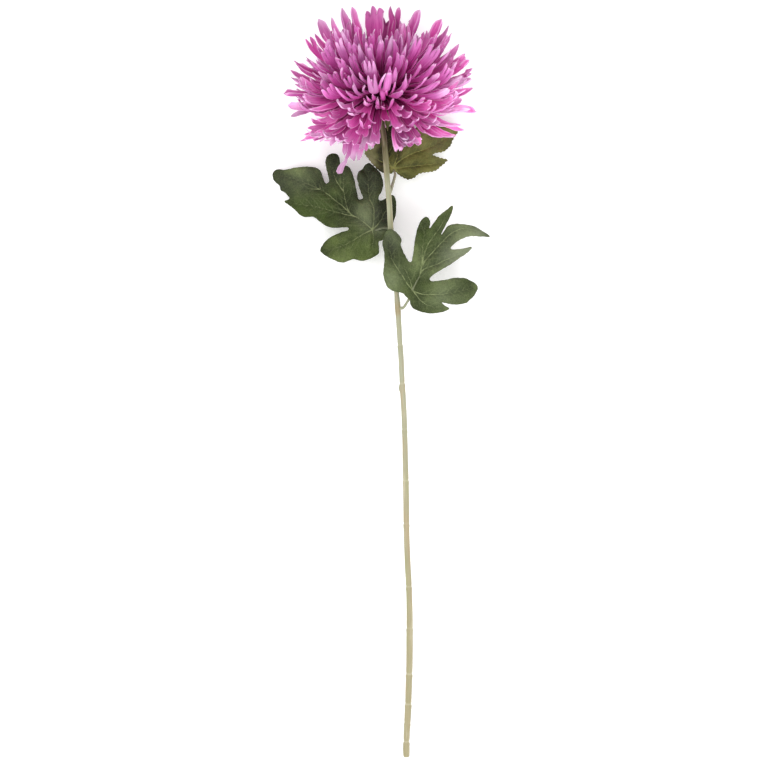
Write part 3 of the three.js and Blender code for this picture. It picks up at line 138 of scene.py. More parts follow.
# [azimuth, polar angle of the tip, reach, width, half width at a third, half width at the root, twist], by whorl
FLORETS = [
    [
        [21.5, 6.9, 62.4, 4.6, 1.7, 0.52, 0], [97.3, 6.8, 63.4, 4.6, 1.7, 0.52, 0],
        [158.3, 6.2, 63.5, 4.6, 1.7, 0.52, 0], [237.8, 7.3, 56.9, 4.6, 1.7, 0.52, 0],
        [307.6, 5.6, 60.4, 4.6, 1.7, 0.52, 0],
    ],
    [
        [6.3, 14.4, 70.4, 5.32, 2.18, 1.04, 53], [50.5, 13.8, 69.5, 5.49, 2.03, 0.69, 37],
        [79.8, 15.7, 64.8, 5.33, 2.06, 0.69, 9], [153.6, 13, 66.1, 5.54, 2.27, 0.88, -23],
        [190.9, 12.1, 68.1, 5.26, 2.16, 0.88, 60], [247.6, 16.2, 87, 5.78, 2.37, 0.93, 13],
        [287, 19.51, 87.39, 5.08, 2.04, 0.81, -3.75], [321.1, 16.5, 73.9, 5.24, 2.12, 0.81, -39],
    ],
    [
        [0.3, 22.4, 75.9, 5.23, 2.15, 0.8, -40], [37.7, 22.3, 72.1, 5.21, 2.14, 1.22, 39],
        [128, 18.4, 67.4, 5.9, 2.42, 1.6, -26], [177.1, 19.3, 75, 5.42, 2.22, 1.43, -40],
        [220.8, 21.13, 89.73, 5.45, 2.24, 1.35, 32], [262.1, 22.2, 72.1, 5.43, 2.23, 1.12, 2],
        [296.3, 21.17, 87.51, 5.52, 2.21, 1.12, -9], [336, 20.3, 75.8, 5.74, 2.33, 0.8, -38],
    ],
    [
        [20.3, 26.5, 74.3, 5.57, 2.28, 1.6, 35], [58.8, 24.6, 75.3, 5.78, 2.37, 0.85, 18],
        [79.1, 23.5, 78.4, 5.47, 2.24, 0.85, 19], [103.7, 24.8, 76.2, 5.67, 1.88, 0.62, -10],
        [118.5, 29, 83.1, 5.95, 2.21, 0.62, -30], [145.2, 23.6, 73.8, 5.06, 2.07, 0.97, -33],
        [168.5, 26.4, 75.9, 5.68, 2.33, 0.97, -42], [195, 23.6, 78.9, 5.23, 2.14, 0.69, 57],
        [211.6, 27.2, 92, 6.39, 2.62, 0.69, 61], [286, 25.8, 75, 5.03, 2.06, 0.97, -28],
        [309.3, 23.6, 74.2, 5.78, 2.34, 0.79, -11], [328.1, 23.73, 89.87, 6.27, 2.57, 0.79, -39],
    ],
    [
        [1.3, 31.5, 77.9, 6.78, 2.56, 0.8, -58], [54.9, 32.5, 84.7, 7.02, 2.88, 1.21, 41],
        [79.1, 32, 81.8, 7.07, 2.9, 0.87, 0], [96.4, 32.8, 77.5, 7.38, 2.84, 0.87, 3],
        [132.8, 32.3, 84.7, 6.29, 2.58, 1.18, -52], [156.2, 31.4, 83.3, 7.2, 2.95, 1.18, -31],
        [180.6, 34.5, 81.4, 6.67, 2.73, 1.15, 24], [203.4, 34.1, 88.4, 7.1, 2.91, 1.15, 48],
        [228.4, 30.4, 82.5, 7.32, 3, 1.17, -3], [251.7, 29.7, 82.8, 5.09, 2.09, 0.85, -17],
        [268.7, 30.9, 76.1, 6.2, 2.53, 0.81, 13], [284.9, 34.5, 81.6, 6.33, 2.59, 0.81, -21],
        [312, 31.3, 83.5, 7.45, 3.05, 1.37, 8], [345.4, 29.5, 69.52, 5.39, 2.21, 0.8, -22],
    ],
    [
        [14.8, 38.2, 82.7, 6.94, 2.85, 1.01, 20], [32.1, 36, 82.6, 6.45, 2.65, 1.01, 51],
        [51.3, 37.6, 86.3, 6.46, 2.65, 1.13, 44], [76.6, 39.8, 87, 6.03, 2.45, 1.49, 9],
        [102.4, 41.1, 87.1, 6.07, 2.36, 1.15, -10], [122.1, 38, 80.1, 6.88, 2.82, 1.15, -9],
        [147.3, 38.5, 85.7, 6.88, 2.82, 1.48, -28], [199.3, 39.3, 93.4, 7.06, 2.89, 1.6, 55],
        [232.5, 38.5, 78.8, 7.02, 2.88, 1.44, -11], [257.1, 38.3, 82.1, 7.39, 2.45, 0.75, -24],
        [269.9, 40, 81.9, 7.28, 2.49, 0.75, -23], [301.4, 37, 77.9, 7.49, 3.07, 1.01, 5],
        [318.6, 38.3, 72.51, 7.01, 2.87, 1.01, -14], [339.8, 36.5, 91.32, 7.14, 2.93, 1.24, -57],
    ],
    [
        [2.4, 43.9, 85.8, 7.29, 2.99, 1.12, -24], [19.3, 46.2, 83.1, 7.45, 3.05, 1.12, 33],
        [48.2, 43.3, 87.2, 7.06, 2.89, 1.46, 47], [70.2, 42.1, 87.1, 6.29, 2.55, 0.89, 20],
        [83.6, 47, 87.4, 6.77, 2.78, 0.89, 6], [97.9, 46.3, 87.3, 6.2, 2.37, 0.7, -5],
        [108.3, 42.9, 87.1, 6.54, 2.04, 0.7, -22], [134, 41.1, 87.1, 6.56, 2.69, 1.09, -48],
        [150.5, 46.5, 87.3, 6.13, 2.51, 0.86, -56], [163.4, 43.9, 81.4, 6.1, 2.5, 0.86, -28],
        [178.6, 43.3, 87.1, 6.98, 2.86, 1.01, 57], [221.1, 42.1, 79.7, 7.48, 3.07, 1.21, 11],
        [239.2, 46.3, 79.6, 6.13, 2.51, 1.21, -14], [283.3, 45, 82.2, 7.2, 2.95, 1.6, 18],
        [309.4, 44.3, 75.51, 6.62, 2.71, 1.6, 5], [343.2, 42.1, 92, 6.42, 2.61, 1.28, -40],
    ],
    [
        [29.5, 50.8, 87.5, 6.14, 2.52, 0.78, 50], [40.1, 46.9, 87.3, 6.85, 2.53, 0.78, 49],
        [63.1, 48.8, 87.4, 7.01, 2.87, 0.93, 40], [75.7, 48.1, 87.4, 5.94, 2.44, 0.93, 24],
        [94.3, 51.7, 87.6, 6.36, 2.26, 0.71, -10], [103.9, 51.3, 87.6, 5.78, 2.37, 0.71, -19],
        [115.3, 51, 87.6, 6.25, 2.09, 0.74, -26], [125.3, 50.4, 87.5, 5.95, 2.33, 0.74, -32],
        [139.7, 47.7, 87.4, 7.02, 2.88, 1.06, -48], [192.9, 50.6, 88.4, 7.17, 2.94, 1.29, 68],
        [210.3, 49.3, 86.5, 6.76, 2.77, 1.25, 9], [227.1, 51.3, 86.8, 7.5, 3.07, 1.25, 11],
        [254.4, 48.4, 84.2, 6.46, 2.65, 1.6, 5], [276, 51.3, 79.2, 6.12, 2.51, 1.38, -20],
        [294.6, 52.1, 85.3, 6.9, 2.83, 1.02, -26], [308.4, 52.7, 81.1, 6.05, 2.48, 0.94, -27],
        [321.1, 48, 84.1, 6.3, 2.58, 0.88, 23], [333, 47.6, 79.1, 6.61, 2.67, 0.88, 11],
        [345.1, 46.5, 88.69, 6.35, 2.58, 0.9, -52],
    ],
    [
        [14.4, 55, 83.59, 6.23, 2.56, 1.21, -37], [54.9, 56.6, 87.8, 6.44, 2.64, 0.97, 50],
        [66.8, 55.6, 87.8, 7, 2.87, 0.97, 35], [82.1, 57.5, 87.9, 6.17, 2.53, 1.23, 18],
        [98.9, 53.3, 87.6, 6.85, 1.96, 0.66, -8], [107, 58.8, 87.9, 7.04, 2.13, 0.66, -27],
        [121.2, 53.6, 87.6, 5.78, 2.11, 0.79, -38], [131, 53.3, 87.6, 6.13, 2.41, 0.79, -36],
        [143.7, 53.3, 87.7, 6.48, 2.66, 1.03, -61], [159.2, 57.6, 80.6, 6.97, 2.86, 1.2, -35],
        [174.1, 57.4, 79.9, 6.59, 2.47, 0.81, 56], [184.1, 55.9, 74.73, 6.84, 2.44, 0.81, 30],
        [218.6, 56.5, 81.9, 6.93, 2.84, 1.6, 6], [240.6, 55.4, 86.8, 7.41, 3.04, 1.6, -24],
        [264, 53.6, 82.7, 6.76, 2.77, 1.6, 8], [317.8, 56.2, 86.6, 6.65, 2.73, 0.87, 28],
        [328.5, 58.2, 81.34, 7.08, 2.57, 0.82, 21], [338.6, 55.3, 83.5, 6.36, 2.56, 0.82, -41],
        [348.9, 54, 86.02, 7.17, 2.74, 0.83, -56], [359.5, 57.8, 86.14, 6.6, 2.57, 0.86, -25.5],
    ],
    [
        [5.5, 61.6, 87.9, 6.22, 2.47, 1.58, -17.44], [23.7, 61, 84.4, 6.82, 2.8, 1.09, 20],
        [36.1, 61.7, 88, 6.16, 2.53, 0.95, 48], [47, 61.5, 88, 6.32, 2.59, 0.95, 56],
        [86.4, 62.1, 88, 6.05, 2.43, 0.89, 9], [96.6, 63, 88, 5.95, 2.44, 0.89, -21],
        [111.4, 63, 88, 6.62, 2.72, 0.85, -35], [121.1, 58.8, 87.9, 6.65, 2.69, 0.85, -47],
        [150.2, 60.5, 80.4, 6.09, 2.5, 1.6, -42], [175.1, 63.4, 88, 6.64, 2.72, 1.6, 58],
        [205.3, 62.5, 76.99, 6.7, 2.75, 1.6, -10], [226.7, 63.9, 81.4, 7.02, 2.88, 0.96, 9],
        [237.7, 63.6, 80.5, 6.53, 2.68, 0.96, -17], [250.2, 59.5, 86.6, 7.06, 2.89, 1.09, -4],
        [273.5, 60.2, 83.4, 7.11, 2.89, 0.94, 6], [284.2, 59.5, 85.6, 6.03, 2.12, 0.69, 23],
        [292.2, 64.6, 84.3, 6.09, 2.13, 0.69, 7], [302.1, 59.3, 80.2, 7.01, 2.36, 0.8, -6],
        [311.3, 62.3, 84.8, 7.44, 2.5, 0.8, 5], [335, 64.6, 79.7, 6.38, 2.61, 1.6, -10],
    ],
    [
        [6.8, 65.6, 82.27, 6.12, 2.23, 0.77, -34.5], [17.7, 68.5, 83.4, 6.89, 2.82, 1.02, -37],
        [56.4, 68.3, 88, 6.18, 2.53, 0.93, 64], [66.4, 65.9, 88, 6.25, 1.75, 0.58, 38],
        [72.6, 65.1, 88, 6.17, 1.74, 0.58, 32], [82, 67, 72, 4.98, 1.9, 1, 0], [92.4, 64, 88, 6.41, 2.63, 1.19, -6],
        [105.2, 68.1, 88, 6.59, 2.7, 1.19, -40], [126.2, 64, 88, 6.2, 2.31, 0.75, -44],
        [134.2, 67.9, 83.2, 6.57, 2.22, 0.75, -48], [143.2, 66, 88, 6.86, 2.62, 0.84, -52],
        [160.8, 70.3, 83.1, 6.04, 2.48, 1.6, 36], [195.4, 69.79, 83.84, 6.85, 2.81, 1.6, 40],
        [216.6, 67.3, 81.87, 7.1, 2.91, 1.6, -11], [246.3, 69.1, 87.4, 6.47, 2.65, 1.06, 6],
        [257.8, 70.4, 86.9, 6.33, 2.35, 0.76, -9], [265.9, 66.5, 86.5, 7.21, 2.32, 0.76, -7],
        [275.1, 69.5, 84.8, 6.36, 2.61, 0.86, -1], [302.3, 68, 85.3, 6.28, 2.58, 1.5, -27],
        [318.5, 67.8, 80.3, 6.65, 2.46, 0.84, 18], [327.5, 70.1, 86.1, 7.05, 2.62, 0.84, -15],
        [344.3, 66.4, 83.1, 6.15, 2.52, 1.31, -29], [358.4, 69.82, 88.11, 6.48, 2.36, 0.77, -37],
    ],
    [
        [8.4, 71.4, 80.82, 6.2, 2.54, 1.6, -53], [28, 74.3, 87.2, 7.25, 2.97, 1.06, -34],
        [38.8, 73.4, 88, 6.36, 2.46, 0.8, 51], [47, 74.6, 88, 6.98, 2.46, 0.8, 47],
        [67.8, 76.5, 88, 6.14, 2.52, 1.04, 43], [78.4, 72, 88, 6.45, 2.64, 1.04, 36], [90, 72, 62, 5.4, 2, 0.9, 12],
        [101, 73.5, 56, 5.2, 1.9, 0.9, -14], [112.8, 72.3, 88, 6.68, 2.74, 1.25, -51],
        [125.5, 70.8, 88, 7.03, 2.88, 1.25, -56], [141.5, 73.4, 88, 6.38, 2.61, 1.01, -51],
        [151.7, 73.6, 86.5, 6.34, 2.6, 1.01, 34], [171.8, 72.6, 85.6, 6.11, 2.5, 1.31, 54],
        [185.2, 71.7, 86.73, 6.49, 2.66, 1.31, 64], [202.4, 71.8, 82.3, 6.29, 2.58, 1.18, -21],
        [214.5, 75.4, 80.9, 7.21, 2.96, 1.08, -3], [225.4, 73.8, 85.2, 7.26, 2.98, 1.08, 7],
        [237.3, 72.7, 82.4, 6.28, 2.57, 1.17, 23], [283.4, 73.2, 80.6, 6.42, 2.63, 1.31, -2],
        [296.8, 74.6, 80.6, 7.21, 2.96, 1.31, 1], [310.6, 73.6, 81.1, 6.96, 2.85, 1.35, 21],
        [351.9, 76.2, 84.77, 7.21, 2.96, 1.6, -34],
    ],
    [
        [0.2, 79.42, 83.8, 6.52, 2.67, 0.97, -29], [9.7, 78.98, 78.31, 6.12, 2.48, 0.97, -33],
        [22.8, 82.5, 80.1, 6.44, 2.64, 1.34, -40], [40.4, 82.5, 86.8, 7.19, 2.95, 1.6, -44],
        [58.4, 80.3, 88, 6.48, 2.66, 1.6, -52], [76.8, 82.1, 88, 6.22, 2.55, 1.6, -61],
        [91, 79, 50, 5.2, 1.9, 0.9, 10], [104, 78, 60, 4.59, 1.63, 0.9, -6.33],
        [117.6, 80.7, 88, 6.07, 2.46, 1.6, 41], [134.7, 81.3, 88, 6.33, 2.6, 1.16, 66],
        [146, 80.8, 88, 6.31, 2.59, 1.16, 43], [157.9, 79.6, 85.2, 7.38, 2.71, 0.91, 32],
        [166.8, 81.96, 90.43, 6.23, 2.56, 0.91, 40], [190.1, 80.3, 80.59, 6.01, 2.46, 1.6, 23],
        [208.8, 81.8, 87, 7.41, 3.04, 1.21, -24], [220.6, 82.5, 83.3, 7.32, 2.85, 0.97, 17],
        [230.1, 82.3, 80, 7.48, 2.72, 0.96, -18], [239.5, 81, 86.6, 6.65, 2.73, 0.96, -3],
        [250.8, 78.7, 86.4, 7.43, 2.5, 0.84, 6], [259, 82.4, 79.6, 7.39, 2.34, 0.84, -7],
        [268.8, 79.8, 80.6, 6.33, 2.6, 1, -7], [279, 80.9, 80.4, 7.12, 2.69, 0.95, 0],
        [288.3, 81.1, 83.6, 7.26, 2.78, 0.95, 4], [320.5, 78.1, 81.7, 6.99, 2.87, 1.47, 19],
        [334.9, 78.7, 82.5, 6.78, 2.78, 1.47, 11],
    ],
    [
        [1.8, 87.2, 73.35, 6.43, 2.64, 1.17, -46], [12.8, 83.9, 74.7, 6.11, 2.48, 1.17, -51],
        [49.8, 83.5, 88, 6.04, 2.48, 0.96, -47], [58.8, 87.6, 88, 6.34, 2.6, 0.96, -45],
        [70.8, 85.5, 88, 6.58, 2.7, 1.27, -55], [84, 83, 58, 4.4, 1.55, 0.9, -3.8],
        [94, 82, 48, 3.46, 1.13, 0.9, 1.05], [103.5, 86.2, 88, 5.65, 2.27, 0.87, 33.75],
        [111.7, 85.1, 88, 6.12, 2.22, 0.87, 19.69], [124.6, 87.5, 88, 5.9, 2.42, 1.36, 66],
        [158.8, 87.9, 83.1, 7.07, 2.87, 1.6, 21.75], [174.5, 83.5, 79.2, 6.47, 2.62, 1.04, 46.5],
        [184.4, 85.51, 71.45, 7.39, 3.03, 1.04, 30], [200, 84.88, 82.04, 7.34, 3.01, 1.6, 2],
        [247.6, 87, 87.8, 7.35, 3.01, 1.6, 0], [297.8, 83.8, 87.7, 6.87, 2.74, 0.92, 2],
        [306.5, 87.3, 84.6, 6.02, 2.47, 0.92, -9], [319.3, 86.8, 85.4, 7.12, 2.9, 0.99, 26],
        [328.6, 81.83, 83.02, 6.26, 2.57, 0.99, 1], [343, 85.1, 80.4, 6.45, 2.64, 1.53, -6],
    ],
    [
        [13.3, 91.7, 76.38, 6.4, 2.57, 0.99, -32.06], [22.3, 89.97, 68.49, 6.79, 2.59, 0.94, -29],
        [30.9, 88, 79.83, 6.62, 2.39, 0.89, -19], [39, 96.97, 80.7, 7.41, 2.39, 0.88, -23],
        [47.1, 94.81, 78.5, 6.92, 2.39, 0.88, -49], [55.4, 94.7, 88, 6.21, 2.55, 0.91, -58],
        [66.3, 93.7, 81.9, 6.38, 2.62, 1.19, -25], [78.5, 92.2, 88, 5.94, 2.34, 1.33, -16.14],
        [89, 83.5, 44, 2.3, 0.72, 0.8, 0.04], [100.8, 96.3, 88, 4.53, 1.69, 1.21, 2.18],
        [111.9, 90.2, 88, 6.87, 2.82, 1.21, 62], [134.2, 90.6, 87.3, 6.53, 2.68, 1.56, 26],
        [148.5, 89.9, 73.69, 6.05, 2.45, 1.56, 9.75], [167.7, 88.85, 85.13, 6.24, 2.5, 1.17, 28.69],
        [178.5, 97.74, 81.57, 5.21, 1.97, 1.17, 2.5], [192.2, 91.54, 71.88, 6.26, 2.57, 1.04, 7],
        [201.8, 94.7, 80.7, 7.19, 2.43, 0.9, -22], [210, 92.2, 87.2, 7.38, 2.61, 0.9, 13],
        [235.1, 89.9, 86.2, 7.21, 2.96, 1.6, -7], [261.1, 90.6, 84.1, 7.24, 2.97, 1.08, 0],
        [271, 93, 84.9, 6.01, 2.46, 1.08, -5], [283.8, 94.6, 83.8, 6.94, 2.85, 1.24, -6],
        [295.2, 92.1, 87.7, 7.29, 2.99, 1.24, 1], [336.5, 90.4, 80.1, 6.07, 2.49, 1.44, -4],
        [349.7, 88.79, 73.19, 6.41, 2.63, 1.44, -7],
    ],
    [
        [8.5, 91.6, 81, 5.89, 2.38, 1.6, -16.31], [29.5, 100.4, 77.36, 6.79, 2.78, 1.6, -27],
        [73.1, 98.7, 80.5, 6.63, 2.72, 1.08, -16], [85.33, 91.79, 60, 3.72, 1.37, 0.9, 0],
        [92.8, 100.3, 88, 2.28, 0.71, 1.08, 0], [105.5, 100.1, 81.7, 7.16, 2.94, 1.6, 31],
        [121.9, 96.2, 83.1, 6, 2.46, 1.6, 28], [144.5, 99, 82.25, 6.08, 2.49, 1.41, 48],
        [157.1, 89.1, 86, 5.7, 2.29, 0.93, 13.5], [165.5, 96, 64.51, 6.19, 1.97, 0.77, 42],
        [172.4, 92.97, 73.25, 4.4, 1.4, 0.77, 5.41], [186.4, 98.5, 66.08, 7.46, 3.06, 1.56, 17],
        [223.3, 96.7, 85.1, 7.28, 2.99, 1.28, 13], [234.8, 100.4, 84.2, 6.13, 2.51, 1.22, -5],
        [245.7, 96.3, 80.9, 6.75, 2.76, 1.02, -8], [254.9, 97.3, 81.8, 6.47, 2.65, 0.98, 7],
        [263.8, 99.4, 87.9, 6.47, 2.65, 0.98, -2], [311.1, 96.7, 88, 6.53, 2.68, 1.36, 6],
        [323.3, 99.2, 87, 6.97, 2.86, 1.36, -21], [352.3, 96, 86.41, 6.88, 2.82, 1.6, -5],
    ],
    [
        [0.4, 108.43, 78.86, 6.03, 2.42, 1.6, -25.88], [17.8, 102.9, 75.48, 6.57, 2.66, 1.6, -33],
        [38.3, 102.9, 80.65, 6.23, 2.53, 1.42, -27.75], [50.9, 101.9, 81, 6.19, 2.54, 1.42, -21],
        [65.1, 105.2, 82.72, 6.27, 2.04, 0.79, -30], [72, 103.3, 88, 5.99, 1.85, 0.79, -15.75],
        [73.7, 102.9, 88, 5.89, 2.12, 0.86, -15.75], [90.44, 99.38, 54, 2.4, 0.84, 0.9, 0],
        [95.3, 105.2, 88, 5.05, 1.99, 1.6, 3.16], [113.8, 104.7, 86.6, 6.27, 2.57, 1.6, 29],
        [131.1, 103.3, 80.3, 6.05, 2.43, 1.6, 9.56], [159.8, 105.4, 73, 6.35, 2.39, 1.6, 53],
        [198.3, 97.03, 74.63, 7.17, 2.92, 1.09, 27], [207.9, 102.8, 73.42, 6.57, 2.69, 1.09, 24],
        [224.6, 106.1, 83.7, 7.2, 2.95, 1.6, -23], [244.2, 106.5, 80.8, 6.93, 2.84, 1.6, -9],
        [272.2, 103.9, 80.6, 6.65, 2.73, 1.06, 9], [281.6, 102.7, 79.9, 6.56, 2.69, 1.06, -1],
        [296.1, 101.9, 86.1, 6.74, 2.77, 1.05, 5], [305.5, 106.6, 86.4, 7.05, 2.89, 1.05, -3],
        [316.9, 103.52, 74.43, 6.63, 2.72, 1.29, -2], [331.6, 101.52, 63.04, 7.04, 2.89, 1.39, 1],
        [344, 100.2, 57.25, 6.42, 2.6, 1.39, -3],
    ],
    [
        [1.4, 112.78, 73.4, 5.88, 2.36, 1.05, -24.19], [10.6, 110.8, 70.9, 6.02, 2.39, 1.05, -13.92],
        [20.4, 106.7, 73.21, 5.72, 2.21, 1.11, -15.19], [30.5, 106, 77.66, 6.11, 2.5, 1.14, -41],
        [46.1, 103.7, 81.4, 6.37, 2.58, 1.6, -21.75], [72, 104.4, 88, 5.06, 1.89, 1.43, -6.96],
        [100.3, 110.5, 78.39, 7.4, 3.04, 1.33, 19], [100.7, 109, 87.2, 7.32, 3, 1.33, 2],
        [123.6, 104.7, 87, 6.05, 2.43, 1.6, 18.56], [141.9, 106.5, 83.5, 6.78, 2.45, 1.02, 20.25],
        [150.9, 108.2, 82.53, 7.04, 2.61, 1, 52], [159.8, 111.3, 78.91, 6.09, 2.5, 1, 55],
        [169.2, 113.4, 76.47, 6.56, 2.58, 1.07, 44], [180, 113.8, 77.28, 6.18, 2.54, 1.1, 40],
        [189.7, 115.6, 79.9, 6.65, 2.55, 1.1, 12.38], [212.9, 109.8, 77.31, 6.99, 2.87, 1.6, 21],
        [260, 107.5, 79.4, 7.33, 3.01, 1.6, 4], [278, 112.3, 80.5, 7.19, 2.74, 1.09, 5],
        [287.6, 108.9, 86.4, 7, 2.87, 1.09, 5], [338.5, 111.3, 77.74, 6.82, 2.76, 1.12, -3.75],
        [348.4, 111.7, 65.27, 6.58, 2.67, 1.12, 9],
    ],
    [
        [26.3, 109.1, 74.7, 5.44, 2.16, 1.48, -9.28], [39.4, 107.8, 72.22, 6.88, 2.82, 1.48, -39],
        [53.8, 114.4, 65.21, 6.01, 2.46, 1.13, -23], [63.8, 107, 79.5, 6.22, 2.55, 1.13, -29],
        [116.9, 118.3, 59.7, 7.16, 2.94, 1.6, 32], [135.4, 108.4, 80.4, 5.6, 2.25, 1.6, 16.88],
        [151.5, 117.5, 63.5, 5.6, 2.25, 1.6, 30], [191.9, 117, 79.6, 5.9, 2.39, 1.08, -4.5],
        [201.4, 114.3, 78.49, 7.32, 2.83, 1.08, 28], [236.2, 114.2, 78.1, 6.27, 2.57, 1.6, 3],
        [267.6, 115, 77.9, 6.04, 2.47, 1.6, 4], [298.4, 113.7, 74, 7.26, 2.98, 1.6, 5],
        [324.4, 113.9, 75.11, 6.18, 2.53, 1.6, 27],
    ],
    [
        [1.4, 114.7, 69.66, 7.27, 2.98, 1.38, -16], [13.9, 113.2, 70.73, 6.2, 2.46, 1.4, -18.56],
        [47.4, 122.5, 56.64, 6.9, 2.32, 1.19, -34], [58, 123.8, 56.58, 7.27, 2.42, 1.19, -18],
        [131.1, 121.4, 61.84, 6.87, 2.82, 1.6, 14], [147.4, 121.1, 56.7, 6.1, 2.42, 1.6, 24],
        [170.4, 115.2, 75, 6.05, 2.48, 1.42, 40], [183, 117.4, 76.14, 6.59, 2.64, 1.42, 2.25],
        [209, 124.3, 74.92, 6.77, 2.77, 1.6, 28], [224.7, 121, 81, 7.07, 2.9, 1.6, 8],
        [251.8, 119.7, 78.1, 6.16, 2.53, 1.6, 6], [274.4, 120.8, 42, 6.84, 2.77, 1.6, -6],
        [288.9, 123.7, 47, 7.4, 3, 1.6, 5], [306.3, 120.1, 55.2, 6.09, 2.24, 1.18, 15],
        [316.8, 117.4, 65.6, 5.51, 2.07, 1.18, -7.91], [336.9, 119.9, 71.81, 6.85, 2.81, 1.38, 24],
        [349.1, 115.4, 73.88, 6.95, 2.82, 1.38, -14.25],
    ],
    [
        [10.3, 120.2, 58.14, 6.36, 2.61, 1.26, -37], [21.8, 128.8, 50.6, 6.27, 2.42, 1.26, -31],
        [36.5, 127.9, 52.45, 6.37, 2.61, 1.6, -12], [122.4, 126.5, 54.7, 6.92, 2.84, 1.6, 21],
        [139.2, 130.7, 56.9, 6.56, 2.66, 1.6, 30], [159.5, 126.3, 54.36, 6.59, 2.7, 1.6, 29],
        [180.8, 120.5, 71.76, 6.29, 2.56, 1.6, 23.25], [195.5, 122.6, 71.3, 6.59, 2.7, 1.6, 12],
        [244, 129.1, 68.7, 6.53, 2.68, 1.6, -11], [260.7, 128.7, 71.2, 6.36, 2.58, 1.39, -7.5],
        [273.2, 130.7, 47.6, 6.12, 2.33, 1.39, -14], [308.5, 130, 56.7, 6.75, 2.77, 1.6, -26],
        [325.7, 121, 75.5, 6.33, 2.49, 1.6, -6.01],
    ],
    [
        [52.3, 131.5, 50.78, 6.35, 2.58, 1.6, -24], [214.6, 128.4, 68.01, 7.12, 2.92, 1.47, 22],
        [228.2, 134.1, 66.9, 6.24, 2.56, 1.47, 14], [291.7, 128.5, 39, 5.08, 1.91, 1.6, -2.5],
        [339.5, 122.4, 66.87, 7.13, 2.93, 1.6, 27], [356.6, 132.1, 49.84, 6.46, 2.59, 1.6, 14.06],
    ],
    [
        [8.3, 138.4, 49.18, 6.78, 2.78, 1.6, -13], [24.1, 140.4, 47.1, 6.59, 2.59, 1.6, -31],
        [40.4, 137.5, 48.51, 6.96, 2.86, 1.6, -48], [53.7, 138, 49.13, 7.05, 2.86, 1.6, -8],
        [126.9, 140, 60.2, 6.7, 2.75, 1.6, 32], [146.9, 127.7, 48.7, 3.2, 0.89, 1.6, 1.22],
        [172, 148.9, 56, 7.12, 2.92, 1.6, 29], [188.8, 148.1, 55, 6.79, 2.73, 1.6, 3.94],
        [247.8, 142.3, 58, 6.78, 2.78, 1.6, -2], [265.2, 140.8, 51.2, 6.66, 2.73, 1.6, -17],
        [319.8, 137.5, 58.14, 6.28, 2.57, 1.6, 2], [347.5, 138.4, 52.96, 5.89, 2.37, 1.6, -11.81],
    ],
    [
        [10.1, 148.3, 47.11, 6.17, 2.43, 1.6, -28], [47.9, 146.7, 45.9, 6.6, 2.68, 1.6, -22],
        [116.7, 147.6, 43.52, 6.47, 2.65, 1.6, 17], [158.48, 148.11, 76, 3.06, 0.91, 1.4, 0.34],
        [203.4, 148.86, 57.26, 6.76, 2.75, 1.6, 21], [229.1, 145.3, 58.8, 7.43, 3.05, 1.6, 25],
        [301.8, 149.8, 58.7, 4.64, 1.75, 1.6, 1.3], [333.6, 137.8, 56.4, 7.06, 2.89, 1.6, -15],
    ],
    [
        [27, 152.3, 42.3, 6.62, 2.71, 1.6, -15], [41.1, 154.4, 45.9, 6.99, 2.84, 1.6, -16],
        [140.9, 154, 45.8, 6.88, 2.82, 1.6, 25], [177.9, 155.59, 56.71, 6.14, 2.49, 1.6, 29.25],
        [197, 158.69, 55.79, 6.33, 2.59, 1.6, 5], [263.9, 144.5, 50.22, 6.03, 2.47, 1.6, 7],
        [322.4, 152.9, 52.53, 6.57, 2.7, 1.6, -17], [349.5, 150.7, 47.35, 6.26, 2.57, 1.6, -14],
    ],
]

BRACTS = [[12 + 360 / 13 * i, 142, 26 + i % 3, 5.6, 2.6, 2.0, 0] for i in range(13)]


# ---- small helpers ------------------------------------------------------------------------------------------------
def unit(v):
    v = np.asarray(v, float)
    return v / np.maximum(np.linalg.norm(v, axis=-1, keepdims=True), 1e-12)


def smooth(x, a, b):
    t = np.clip((np.asarray(x, float) - a) / (b - a), 0, 1)
    return t * t * (3 - 2 * t)


tilt, yaw = math.radians(HEAD_TILT), math.radians(HEAD_YAW)
AXIS = unit([math.sin(yaw) * math.cos(tilt), math.cos(yaw) * math.cos(tilt), math.sin(tilt)])
RIGHT = unit(np.array([1.0, 0, 0]) - AXIS * AXIS[0])
FRONT = np.cross(RIGHT, AXIS)


def lean(polar):
    return float(np.interp(polar, [7, 14, 30, 60, 105, 130, 152], [3, 6, 11, 12, 10, 0, -14]))


def rest(p):
    """The surface presses the lowest florets flatter and spreads them."""
    q = p - HEAD_CENTRE
    depth = -q[:, 2]
    low = depth > REST_DEPTH
    pressed = REST_DEPTH + REST_RANGE * (1 - np.exp(-np.maximum(depth - REST_DEPTH, 0) / REST_RANGE))
    spread = 1 + REST_SPLAY * (depth - pressed) / 50
    q = q.copy()
    q[low, 0] *= spread[low]
    q[low, 1] *= spread[low]
    q[low, 2] = -pressed[low]
    return q + HEAD_CENTRE


def keep_off_floor(p, clear=0.3):
    low = ORIGIN[2] + clear
    d = p[:, 2] - low
    p = p.copy()
    p[:, 2] = low + 0.5 * (d + np.sqrt(d * d + 0.36))
    return p


